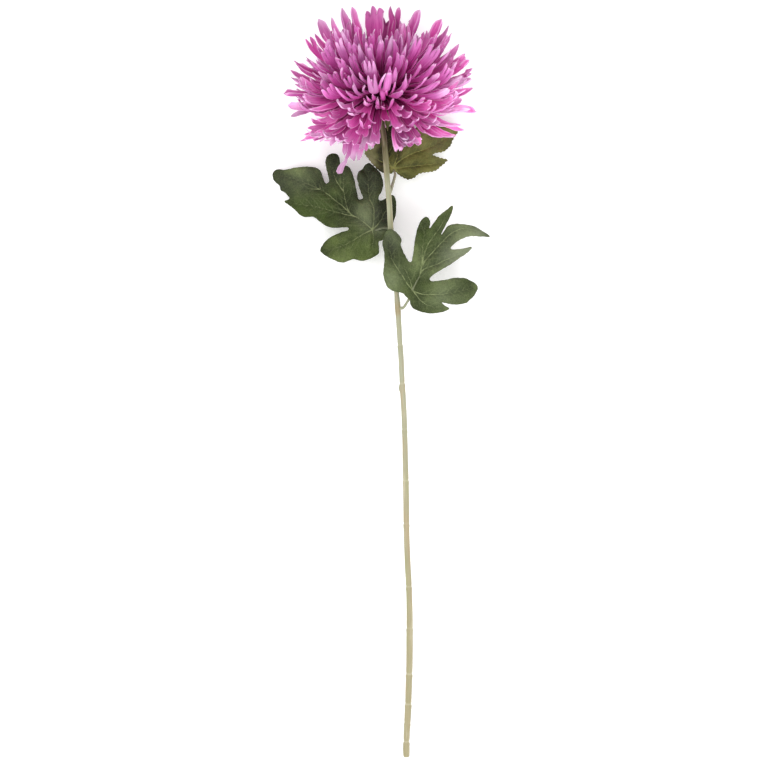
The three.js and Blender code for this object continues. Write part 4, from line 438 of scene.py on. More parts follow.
def build_mesh(name, verts_mm, quads, tris, flat, attributes, uvs, material):
    """One object from arrays. attributes: name -> per-vertex floats or vectors. uvs: per-corner, quads first."""
    mesh = bpy.data.meshes.new(name)
    verts = (np.asarray(verts_mm) - ORIGIN) / 1000
    loops = np.concatenate([np.asarray(quads, int).ravel(), np.asarray(tris, int).ravel()]).astype(np.int32)
    nq, nt = len(quads), len(tris)
    starts = np.concatenate([np.arange(nq) * 4, nq * 4 + np.arange(nt) * 3]).astype(np.int32)
    mesh.vertices.add(len(verts))
    mesh.vertices.foreach_set("co", verts.astype(np.float32).ravel())
    mesh.loops.add(len(loops))
    mesh.loops.foreach_set("vertex_index", loops)
    mesh.polygons.add(nq + nt)
    mesh.polygons.foreach_set("loop_start", starts)
    mesh.polygons.foreach_set("use_smooth", ~np.asarray(flat, bool))
    for key, values in attributes.items():
        values = np.asarray(values, np.float32)
        if values.ndim == 2:
            mesh.attributes.new(key, "FLOAT_VECTOR", "POINT").data.foreach_set("vector", values.ravel())
        else:
            mesh.attributes.new(key, "FLOAT", "POINT").data.foreach_set("value", values)
    layer = mesh.uv_layers.new(name="OFBake")
    layer.data.foreach_set("uv", np.asarray(uvs, np.float32).ravel())
    mesh.update(calc_edges=True)
    mesh.validate()
    mesh.materials.append(material)
    obj = bpy.data.objects.new(name, mesh)
    bpy.context.scene.collection.objects.link(obj)
    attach(obj, "root")
    return obj


# ---- node materials -------------------------------------------------------------------------------------------------
def srgb(r, g, b):
    def f(c):
        c /= 255
        return c / 12.92 if c <= 0.04045 else ((c + 0.055) / 1.055) ** 2.4

    return (f(r), f(g), f(b), 1.0)


class Nodes:
    def __init__(self, name):
        self.material = bpy.data.materials.new(name)
        self.material.use_nodes = True
        self.tree = self.material.node_tree
        self.tree.nodes.clear()
        self.out = self.tree.nodes.new("ShaderNodeOutputMaterial")
        self.shader = self.tree.nodes.new("ShaderNodeBsdfPrincipled")
        self.tree.links.new(self.shader.outputs[0], self.out.inputs[0])

    def link(self, a, b):
        self.tree.links.new(a, b)

    def put(self, socket, value):
        if hasattr(value, "is_output"):
            self.link(value, socket)
        elif value is not None:
            socket.default_value = value

    def attribute(self, name):
        n = self.tree.nodes.new("ShaderNodeAttribute")
        n.attribute_name = name
        return n

    def value(self, name):
        return self.attribute(name).outputs["Fac"]

    def vector(self, name):
        return self.attribute(name).outputs["Vector"]

    def math(self, op, a, b=None, clamp=False):
        n = self.tree.nodes.new("ShaderNodeMath")
        n.operation = op
        n.use_clamp = clamp
        self.put(n.inputs[0], a)
        if b is not None:
            self.put(n.inputs[1], b)
        return n.outputs[0]

    def span(self, v, a, b, lo=0.0, hi=1.0, ease=True):
        n = self.tree.nodes.new("ShaderNodeMapRange")
        n.interpolation_type = "SMOOTHSTEP" if ease else "LINEAR"
        self.put(n.inputs["Value"], v)
        for key, x in (("From Min", a), ("From Max", b), ("To Min", lo), ("To Max", hi)):
            n.inputs[key].default_value = x
        return n.outputs["Result"]

    def mix(self, fac, a, b, mode="MIX"):
        n = self.tree.nodes.new("ShaderNodeMix")
        n.data_type = "RGBA"
        n.blend_type = mode
        n.clamp_factor = True
        self.put(n.inputs[0], fac)
        self.put(n.inputs[6], a)
        self.put(n.inputs[7], b)
        return n.outputs[2]

    def ramp(self, v, stops):
        n = self.tree.nodes.new("ShaderNodeValToRGB")
        e = n.color_ramp.elements
        while len(e) < len(stops):
            e.new(0.5)
        for item, (at, colour) in zip(e, stops):
            item.position = at
            item.color = colour
        self.put(n.inputs[0], v)
        return n.outputs[0]

    def scaled(self, vector, scale):
        n = self.tree.nodes.new("ShaderNodeMapping")
        self.put(n.inputs["Vector"], vector)
        n.inputs["Scale"].default_value = scale
        return n.outputs[0]

    def noise(self, vector, scale=1.0, detail=3.0, rough=0.55):
        n = self.tree.nodes.new("ShaderNodeTexNoise")
        self.put(n.inputs["Vector"], vector)
        n.inputs["Scale"].default_value = scale
        n.inputs["Detail"].default_value = detail
        n.inputs["Roughness"].default_value = rough
        return n.outputs["Fac"]

    def voronoi(self, vector, scale=1.0, feature="DISTANCE_TO_EDGE"):
        n = self.tree.nodes.new("ShaderNodeTexVoronoi")
        n.feature = feature
        self.put(n.inputs["Vector"], vector)
        n.inputs["Scale"].default_value = scale
        return n.outputs["Distance"]

    def bright(self, colour, factor):
        n = self.tree.nodes.new("ShaderNodeVectorMath")
        n.operation = "SCALE"
        self.put(n.inputs[0], colour)
        self.put(n.inputs["Scale"], factor)
        return n.outputs[0]

    def bump(self, height, strength, distance):
        n = self.tree.nodes.new("ShaderNodeBump")
        n.inputs["Strength"].default_value = strength
        n.inputs["Distance"].default_value = distance
        self.put(n.inputs["Height"], height)
        self.link(n.outputs[0], self.shader.inputs["Normal"])

    def place(self):
        return self.tree.nodes.new("ShaderNodeTexCoord").outputs["Object"]

    def finish(self, colour, rough, **constants):
        self.put(self.shader.inputs["Base Color"], colour)
        self.put(self.shader.inputs["Roughness"], rough)
        for key, x in constants.items():
            self.shader.inputs[key.replace("_", " ")].default_value = x
        return self.material


def petal_material():
    m = Nodes("floret_skin")
    along, edge, side, rnd, tone = (m.value(k) for k in ("along", "edge", "side", "rnd", "tone"))
    flow = m.vector("flow")
    fade = m.math("MULTIPLY", along, m.span(rnd, 0.0, 1.0, 0.8, 1.1, False))
    inner = m.ramp(fade, [
        (0.0, srgb(156, 8, 100)), (0.16, srgb(168, 17, 113)), (0.33, srgb(184, 35, 130)), (0.5, srgb(197, 56, 146)),
        (0.7, srgb(212, 90, 171)), (0.88, srgb(230, 140, 203)), (1.0, srgb(245, 200, 235)),
    ])
    outer = m.ramp(fade, [
        (0.0, srgb(138, 8, 88)), (0.16, srgb(148, 16, 98)), (0.33, srgb(164, 31, 117)), (0.5, srgb(177, 51, 136)),
        (0.7, srgb(194, 79, 160)), (0.88, srgb(214, 125, 193)), (1.0, srgb(240, 191, 231)),
    ])
    colour = m.mix(side, inner, outer)
    streak = m.noise(m.scaled(flow, (1.5, 0.05, 1.0)), 1.0, 3.0, 0.6)
    fine = m.noise(m.scaled(flow, (5.0, 0.12, 1.0)), 1.0, 2.0, 0.5)
    cloud = m.noise(m.scaled(flow, (0.16, 0.07, 1.0)), 1.0, 2.0, 0.5)
    colour = m.mix(m.span(streak, 0.5, 0.7, 0, 0.55), colour, m.bright(colour, 0.6))
    colour = m.mix(m.span(streak, 0.46, 0.24, 0, 0.34), colour, srgb(244, 186, 230))
    # the rims pale towards the tip and stay deep near the foot
    rims = m.math("MULTIPLY", m.span(edge, 0.6, 1.0, 0, 0.46), m.span(along, 0.4, 0.9, 0.3, 1.0))
    colour = m.mix(rims, colour, srgb(251, 212, 241))
    colour = m.mix(m.span(rnd, 0.0, 1.0, 0.0, 0.16, False), colour, srgb(204, 92, 182))
    # tone brings in each floret's random tone and its painted light and shade
    colour = m.bright(colour, m.math("MULTIPLY", tone, m.span(cloud, 0.25, 0.75, 0.86, 1.12, False)))
    height = m.math("ADD", m.math("MULTIPLY", streak, 1.0), m.math("MULTIPLY", fine, 0.5))
    m.bump(height, 0.5, 0.0003)
    return m.finish(colour, m.span(streak, 0.3, 0.7, 0.52, 0.68, False), Sheen_Weight=0.03, Sheen_Roughness=0.4,
                    Specular_IOR_Level=0.16)


def leaf_material(name, dark, mid, pale, vein_colour, grey_sheen, fresh):
    m = Nodes(name)
    vein, small, edge, side, stalk = (m.value(k) for k in ("vein", "small", "edge", "side", "stalk"))
    painted_sheen, tone, green = (m.value(k) for k in ("sheen", "tone", "green"))
    place = m.place()
    cloud = m.noise(m.scaled(place, (38, 38, 38)), 1.0, 4.0, 0.55)
    mottle = m.noise(m.scaled(place, (120, 120, 120)), 1.0, 3.0, 0.5)
    grain = m.noise(m.scaled(place, (420, 420, 420)), 1.0, 3.0, 0.6)
    cells = m.voronoi(m.scaled(place, (520, 520, 520)), 1.0)
    level = m.math("ADD", m.math("MULTIPLY", cloud, 0.7), m.math("MULTIPLY", mottle, 0.3))
    # tone carries random noise and painted light and shade; it shifts the ramp here and scales the colour below
    level = m.math("ADD", level, m.math("MULTIPLY", tone, 0.34))
    colour = m.ramp(level, [(0.2, dark), (0.5, mid), (0.82, pale)])
    colour = m.mix(m.span(green, 0.0, 1.0, 0, 0.75, False), colour, fresh)
    # painted sheen: the sheen attribute mixes the colour towards a grey highlight
    colour = m.mix(m.span(painted_sheen, 0.0, 1.0, 0, 0.7, False), colour, grey_sheen)
    colour = m.mix(m.span(cells, 0.0, 0.12, 0.14, 0.0), colour, vein_colour)
    colour = m.bright(colour, m.span(grain, 0.25, 0.75, 0.86, 1.12, False))
    colour = m.bright(colour, m.span(tone, -1.0, 1.0, 0.62, 1.36, False))
    colour = m.mix(m.math("MULTIPLY", side, 0.55), colour, pale)
    colour = m.mix(m.span(small, 0.2, 1.0, 0, 0.2), colour, vein_colour)
    patchy = m.span(m.noise(m.scaled(place, (190, 190, 190)), 1.0, 3.0, 0.55), 0.34, 0.62, 0.12, 1.0, False)
    colour = m.mix(m.math("MULTIPLY", patchy, m.span(vein, 0.16, 0.8, 0, 0.72)), colour, vein_colour)
    colour = m.mix(m.span(edge, 0.55, 1.0, 0, 0.3), colour, m.bright(colour, 0.6))
    colour = m.mix(stalk, colour, m.mix(m.span(grain, 0.25, 0.75, 0, 1), srgb(148, 151, 124), srgb(172, 175, 148)))
    height = m.math("SUBTRACT", m.math("MULTIPLY", grain, 0.4), m.math("MULTIPLY", m.span(cells, 0, 0.15, 1.0, 0.0), 0.5))
    m.bump(height, 0.4, 0.0003)
    return m.finish(colour, m.span(cloud, 0.3, 0.7, 0.56, 0.7, False), Specular_IOR_Level=0.2)


def stem_material():
    m = Nodes("stem_skin")
    ring, up, end, side = (m.value(k) for k in ("ring", "up", "end", "side"))
    flow = m.vector("flow")
    fibre = m.noise(m.scaled(flow, (2.2, 0.035, 1.0)), 1.0, 4.0, 0.6)
    blotch = m.noise(m.scaled(flow, (0.16, 0.03, 1.0)), 1.0, 3.0, 0.55)
    fine = m.noise(m.scaled(flow, (3.0, 0.9, 1.0)), 1.0, 3.0, 0.6)
    # painted shade: the ramp dips darker near 0.84 where a leaf shades the stem and darkens from about 0.9 up to the
    # neck under the flower head; the other stops are the stem's own colour, with a brownish band near 0.71
    colour = m.ramp(up, [
        (0.0, srgb(157, 148, 114)), (0.25, srgb(159, 151, 118)), (0.4, srgb(160, 153, 122)), (0.5, srgb(159, 156, 127)),
        (0.62, srgb(157, 158, 133)), (0.698, srgb(159, 158, 131)), (0.707, srgb(151, 138, 105)), (0.717, srgb(151, 138, 105)),
        (0.728, srgb(148, 150, 124)), (0.75, srgb(156, 158, 130)), (0.81, srgb(156, 158, 130)), (0.838, srgb(134, 136, 106)),
        (0.852, srgb(142, 144, 114)), (0.866, srgb(156, 159, 130)),
        (0.88, srgb(154, 156, 126)), (0.91, srgb(146, 148, 118)), (0.93, srgb(121, 119, 83)), (0.965, srgb(92, 86, 50)), (1.0, srgb(70, 56, 34)),
    ])
    colour = m.mix(m.span(blotch, 0.5, 0.72, 0, 0.4), colour, srgb(140, 138, 98))
    colour = m.mix(m.span(blotch, 0.48, 0.3, 0, 0.35), colour, srgb(200, 192, 164))
    tint = m.noise(m.scaled(flow, (0.24, 0.022, 1.0)), 1.0, 2.0, 0.5)
    colour = m.mix(m.span(tint, 0.52, 0.68, 0, 0.5), colour, srgb(172, 150, 118))
    colour = m.mix(m.span(tint, 0.46, 0.32, 0, 0.4), colour, srgb(150, 154, 108))
    colour = m.bright(colour, m.span(fibre, 0.25, 0.75, 0.8, 1.12, False))
    colour = m.mix(m.math("MULTIPLY", m.span(ring, 0.0, 1.0, 0, 0.85), m.span(fine, 0.35, 0.65, 0.45, 1.0)), colour, srgb(188, 182, 156))
    # painted shade: the grooves beside the stalk's ridge on the stem are darkened
    colour = m.mix(m.math("MULTIPLY", side, 0.8), colour, srgb(112, 108, 72))
    colour = m.mix(end, colour, srgb(186, 180, 150))
    height = m.math("ADD", m.math("MULTIPLY", fibre, 1.0), m.math("MULTIPLY", fine, 0.4))
    m.bump(height, 0.45, 0.0003)
    return m.finish(colour, m.span(fibre, 0.3, 0.7, 0.44, 0.6, False), Specular_IOR_Level=0.45)


def bract_material():
    m = Nodes("bract_skin")
    along, edge = m.value("along"), m.value("edge")
    flow = m.vector("flow")
    streak = m.noise(m.scaled(flow, (1.4, 0.06, 1.0)), 1.0, 3.0, 0.6)
    colour = m.ramp(along, [(0.0, srgb(140, 144, 96)), (0.5, srgb(106, 120, 66)), (1.0, srgb(92, 98, 56))])
    colour = m.mix(m.span(edge, 0.7, 1.0, 0, 0.6), colour, srgb(176, 160, 112))
    colour = m.bright(colour, m.span(streak, 0.25, 0.75, 0.8, 1.15, False))
    m.bump(streak, 0.4, 0.0003)
    return m.finish(colour, 0.62, Specular_IOR_Level=0.4)


# ---- straps: one thin closed sheet that may split into fingers ---------------------------------------------------------
_topology = {}


def topology(fingers, cols, base_rows, tip_rows):
    """Vertex layout and faces of one sheet, and its boundary edges."""
    key = (fingers, cols, base_rows, tip_rows)
    if key in _topology:
        return _topology[key]
    width = fingers * cols + 1
    shared = np.arange((base_rows + 1) * width).reshape(base_rows + 1, width)
    count = shared.size
    blocks, own = [shared], []
    for f in range(fingers):
        mine = count + np.arange(tip_rows * (cols + 1)).reshape(tip_rows, cols + 1)
        count += mine.size
        own.append(mine)
        blocks.append(np.vstack([shared[-1:, f * cols : f * cols + cols + 1], mine]))
    quads = np.concatenate([
        np.stack([g[:-1, :-1], g[:-1, 1:], g[1:, 1:], g[1:, :-1]], -1).reshape(-1, 4) for g in blocks
    ])
    directed = set()
    for a, b, c, d in quads.tolist():
        directed.update([(a, b), (b, c), (c, d), (d, a)])
    border = np.array([e for e in sorted(directed) if (e[1], e[0]) not in directed])
    _topology[key] = (shared, own, quads, border, count)
    return _topology[key]


def strap(row, base, style):
    """Points, faces and attributes of one floret or bract. style holds its own shape parameters."""
    azimuth, polar, reach, width, third, root, twist = row
    phi, psi = math.radians(azimuth), math.radians(base)
    th, bend = math.radians(polar), math.radians(polar + style["lean"])
    out = RIGHT * math.cos(phi) + FRONT * math.sin(phi)
    across = -RIGHT * math.sin(phi) + FRONT * math.cos(phi)
    at = lambda r, angle: AXIS * (r * math.cos(angle)) + out * (r * math.sin(angle))
    P = [at(ROOT_OUTER, psi), at(ROOT_OUTER + 0.3 * reach, psi), at(0.72 * reach, bend), at(reach, th)]

    offsets = np.array(style["pull"]) if style["pull"] else np.zeros((2, 3))

    def centre(s):
        s = np.asarray(s)[:, None]
        u = 1 - s
        line = rest(u**3 * P[0] + 3 * u * u * s * P[1] + 3 * u * s * s * P[2] + s**3 * P[3] + HEAD_CENTRE)
        if style["pull"]:
            # smooth steps between the knots (share of the length, right, up)
            place = np.interp(s[:, 0], offsets[:, 0], np.arange(len(offsets)))
            step = np.minimum(place.astype(int), len(offsets) - 2)
            part = place - step
            part = (part * part * (3 - 2 * part))[:, None]
            line[:, :2] += offsets[step, 1:] * (1 - part) + offsets[step + 1, 1:] * part
        return line

    F, cols, n0, n1 = style["fingers"], style["cols"], style["base_rows"], style["tip_rows"]
    shared, own, quads, border, count = topology(F, cols, n0, n1)
    S, U, V, TAU, SPAN, W = (np.zeros(count) for _ in range(6))
    LF, CURL, SIDE_BEND = np.zeros(count), np.zeros(count), np.zeros(count)
    reach_len = reach * 0.92
    full = style["width"] / 2
    # half width of the undivided part
    third = min(third, 0.43 * style["width"])
    knots = [0, 0.2, 0.36, style["flare"], 1]
    halves = [root * 1.15, (root + third) / 2 * 1.1, third * 1.15, full, full]
    half = lambda s: np.interp(s, knots, halves)
    split = np.interp(np.arange(F * cols + 1) / cols, np.arange(F + 1), style["splits"])
    j = np.linspace(0, 1, n0 + 1)[:, None]
    s0 = (j**0.92) * split[None, :]
    s0[0] = -0.035
    w = np.linspace(-1, 1, F * cols + 1)[None, :]
    S[shared] = s0
    U[shared] = w * half(s0)
    W[shared] = w + 0 * s0
    V[shared] = w + 0 * s0
    TAU[shared] = 0
    ends = np.linspace(-1, 1, F + 1)
    for f in range(F):
        c = np.linspace(-1, 1, cols + 1)[None, :]
        tau = (np.arange(1, n1 + 1) / n1)[:, None] ** style["tip_power"]
        tip = style["tips"][f]
        s_here = split[None, f * cols : f * cols + cols + 1]
        s = s_here + (tip - s_here) * tau
        h0 = half(s_here.mean()) / F
        mid = (ends[f] + ends[f + 1]) / 2 * half(s_here.mean())
        body = np.interp(tau, [0, 0.12, 0.5, 0.8, 1], [1, style["gap"], style["waist"], style["paddle"], style["paddle"]])
        k = style["round"]
        t0 = style["shoulder"]
        x = np.clip((tau - t0) / (1 - t0), 0, 1)
        cap = (1 - x**k) ** (1 / k)
        cap = style["blunt"][f] + (1 - style["blunt"][f]) * cap
        h = h0 * body * cap
        length = (tip - s_here.mean()) * reach_len
        lateral = mid + style["spread"][f] * length * tau + style["sway"][f] * length * tau**2
        # the end of a finger is a rounded arc, so its middle reaches further than its corners
        ragged = np.sin(c * (3.1 + 1.3 * f) + style["seed"]) + 0.6 * np.sin(c * (6.3 - 0.8 * f) + 2.1 * style["seed"])
        S[own[f]] = s - (c**2) * x * 0.25 * h / reach_len - style["tear"] * ragged * x * 0.36 * h0 / reach_len
        U[own[f]] = lateral + c * h
        V[own[f]] = c + 0 * tau
        W[own[f]] = ends[f] + (c + 1) / 2 * (ends[f + 1] - ends[f]) + 0 * tau
        TAU[own[f]] = tau + 0 * c
        SPAN[own[f]] = length
        CURL[own[f]] = style["curl"][f]
        LF[own[f]] = h
        SIDE_BEND[own[f]] = style["lift"][f] * (c + 1) / 2 if f == 0 else style["lift"][f] * (1 - c) / 2 * 0 + style["lift"][f]
    s = np.clip(S, 0, 1.02)
    C = centre(s)
    T = unit(centre(np.minimum(s + 0.01, 1.03)) - centre(s - 0.01))
    under = S < 0
    C[under] += T[under] * (S[under] * 95)[:, None]
    b = unit(across[None] - T * (T @ across)[:, None])
    n = unit(np.cross(b, T))
    turn = np.radians(twist * style["twist"] + style["roll"]) * smooth(s, 0.3, 0.8)
    B = b * np.cos(turn)[:, None] + n * np.sin(turn)[:, None]
    N = n * np.cos(turn)[:, None] - b * np.sin(turn)[:, None]
    # channel: an arc across the whole strap, tightest at the foot
    H = half(s)
    arc = np.interp(s, [0, 0.15, 0.4, 0.7, 1], style["arc"])
    kappa = arc / H
    X = np.sin(np.clip(kappa * U, -1.5, 1.5)) / kappa
    Z = (1 - np.cos(np.clip(kappa * U, -1.6, 1.6))) / kappa
    # each finger is a small channel of its own, with rolled rims
    own_part = smooth(TAU, 0.02, 0.35)
    Z = Z + own_part * LF * (style["cup"] * (V**2 - 0.3) + style["rim"] * np.maximum(np.abs(V) - 0.62, 0) ** 1.5 * 2.2)
    Z = Z + (1 - own_part) * H * style["rim"] * 0.5 * np.maximum(np.abs(V) - 0.7, 0) ** 1.5
    # lengthwise ribs, wavy rims and a gentle wander of the whole strap
    Z = Z + style["rib"] * np.cos(W * math.pi * (1.5 + 2 * F) + style["phase"][0]) * smooth(s, 0.1, 0.35)
    ripple = np.sin(s * reach_len / style["wave_len"] * 2 * math.pi + style["phase"][1] + 1.7 * np.sign(V))
    Z = Z + style["wave"] * ripple * np.abs(V) ** 2 * smooth(s, 0.3, 0.6)
    run = s * reach_len
    fold = np.sin(run / 2.1 + 2.2 * np.sin(run / 5.3 + style["seed"]) + 3.0 * W) * np.sin(run / 6.7 + 1.3 * style["seed"])
    Z = Z + style["crumple"] * 0.55 * fold * (0.25 + np.abs(V) ** 1.5) * smooth(s, 0.3, 0.55)
    X = X + style["crumple"] * 0.35 * np.sin(run / 2.6 + 2.5 * np.sign(V) + style["seed"]) * np.abs(V) ** 2 * smooth(s, 0.35, 0.6)
    Z = Z + style["wander"][0] * np.sin(math.pi * (1.3 * s + style["phase"][2])) * smooth(s, 0.25, 0.9)
    X = X + style["wander"][1] * np.sin(math.pi * (1.1 * s + style["phase"][3])) * smooth(s, 0.25, 0.9)
    Z = Z + SIDE_BEND * TAU**1.5
    # curl: the finger's own direction turns towards the crown
    q = np.linspace(0, 1, 41)
    for value in np.unique(CURL):
        here = (CURL == value) & (TAU > 0)
        if not here.any():
            continue
        angle = value * q ** style["curl_power"]
        go = np.concatenate([[0], np.cumsum((np.sin(angle[1:]) + np.sin(angle[:-1])) / 2) / 40])
        back = np.concatenate([[0], np.cumsum((np.cos(angle[1:]) + np.cos(angle[:-1])) / 2 - 1) / 40])
        Z[here] += SPAN[here] * np.interp(TAU[here], q, go)
        C[here] += T[here] * (SPAN[here] * np.interp(TAU[here], q, back))[:, None]
    mid = keep_off_floor(C + B * X[:, None] + N * Z[:, None])
    # the two faces of the sheet
    face_normal = np.cross(mid[quads[:, 2]] - mid[quads[:, 0]], mid[quads[:, 3]] - mid[quads[:, 1]])
    normal = np.zeros_like(mid)
    for k in range(4):
        np.add.at(normal, quads[:, k], face_normal)
    normal = unit(normal)
    tip_near = smooth(TAU, 0.75, 1.0)
    rim_near = np.where(TAU > 0, np.abs(V), np.abs(W)) ** 3
    edge = np.clip(np.maximum(rim_near, tip_near), 0, 1)
    thick = style["thick"] * (1 - 0.5 * edge) / 2
    top, low = mid + normal * thick[:, None], mid - normal * thick[:, None]
    top[:, 2] = np.maximum(top[:, 2], ORIGIN[2] + 0.09)
    low[:, 2] = np.maximum(low[:, 2], ORIGIN[2] + 0.06)
    along = np.clip(s + style["bleach"] * smooth(s, 0.1, 0.4), 0, 1)
    flow = np.stack([U, s * reach_len, np.full(count, style["seed"])], -1)
    faces = np.concatenate([
        quads,
        quads[:, ::-1] + count,
        np.stack([border[:, 1], border[:, 0], border[:, 0] + count, border[:, 1] + count], -1),
    ])
    flat = np.zeros(len(faces), bool)
    flat[2 * len(quads) :] = True
    # bake layout: the two faces side by side
    span = max(full, 1) * 1.5
    uv = np.stack([np.clip(0.5 + 0.46 * U / span, 0.02, 0.98), 0.03 + 0.94 * np.clip(s + 0.035, 0, 1.04) / 1.04], -1)
    left = uv * [0.5, 1]
    rightward = uv * [0.5, 1] + [0.5, 0]
    corner = np.concatenate([
        left[quads].reshape(-1, 2),
        rightward[quads[:, ::-1]].reshape(-1, 2),
        left[np.stack([border[:, 1], border[:, 0], border[:, 0], border[:, 1]], -1)].reshape(-1, 2),
    ])
    two = lambda a: np.concatenate([a, a])
    return {
        "points": np.concatenate([top, low]),
        "faces": faces,
        "flat": flat,
        "uv": corner,
        "along": two(along),
        "edge": two(edge),
        "flow": np.concatenate([flow, flow]),
        "side": np.concatenate([np.zeros(count), np.ones(count)]),
        "rnd": np.full(2 * count, style["rnd"]),
        "tone": np.full(2 * count, style["tone"]),
    }


def gather(name, straps, material):
    """One object from several straps."""
    grid = math.ceil(math.sqrt(len(straps)))
    offset, faces, points, flat, uv = 0, [], [], [], []
    extra = {k: [] for k in ("along", "edge", "flow", "side", "rnd", "tone")}
    for i, s in enumerate(straps):
        points.append(s["points"])
        faces.append(s["faces"] + offset)
        offset += len(s["points"])
        flat.append(s["flat"])
        uv.append((s["uv"] * 0.98 + 0.01 + [i % grid, i // grid]) / grid)
        for k in extra:
            extra[k].append(s[k])
    return build_mesh(
        name, np.concatenate(points), np.concatenate(faces), np.zeros((0, 3), int), np.concatenate(flat),
        {k: np.concatenate(v) for k, v in extra.items()}, np.concatenate(uv), material,
    )


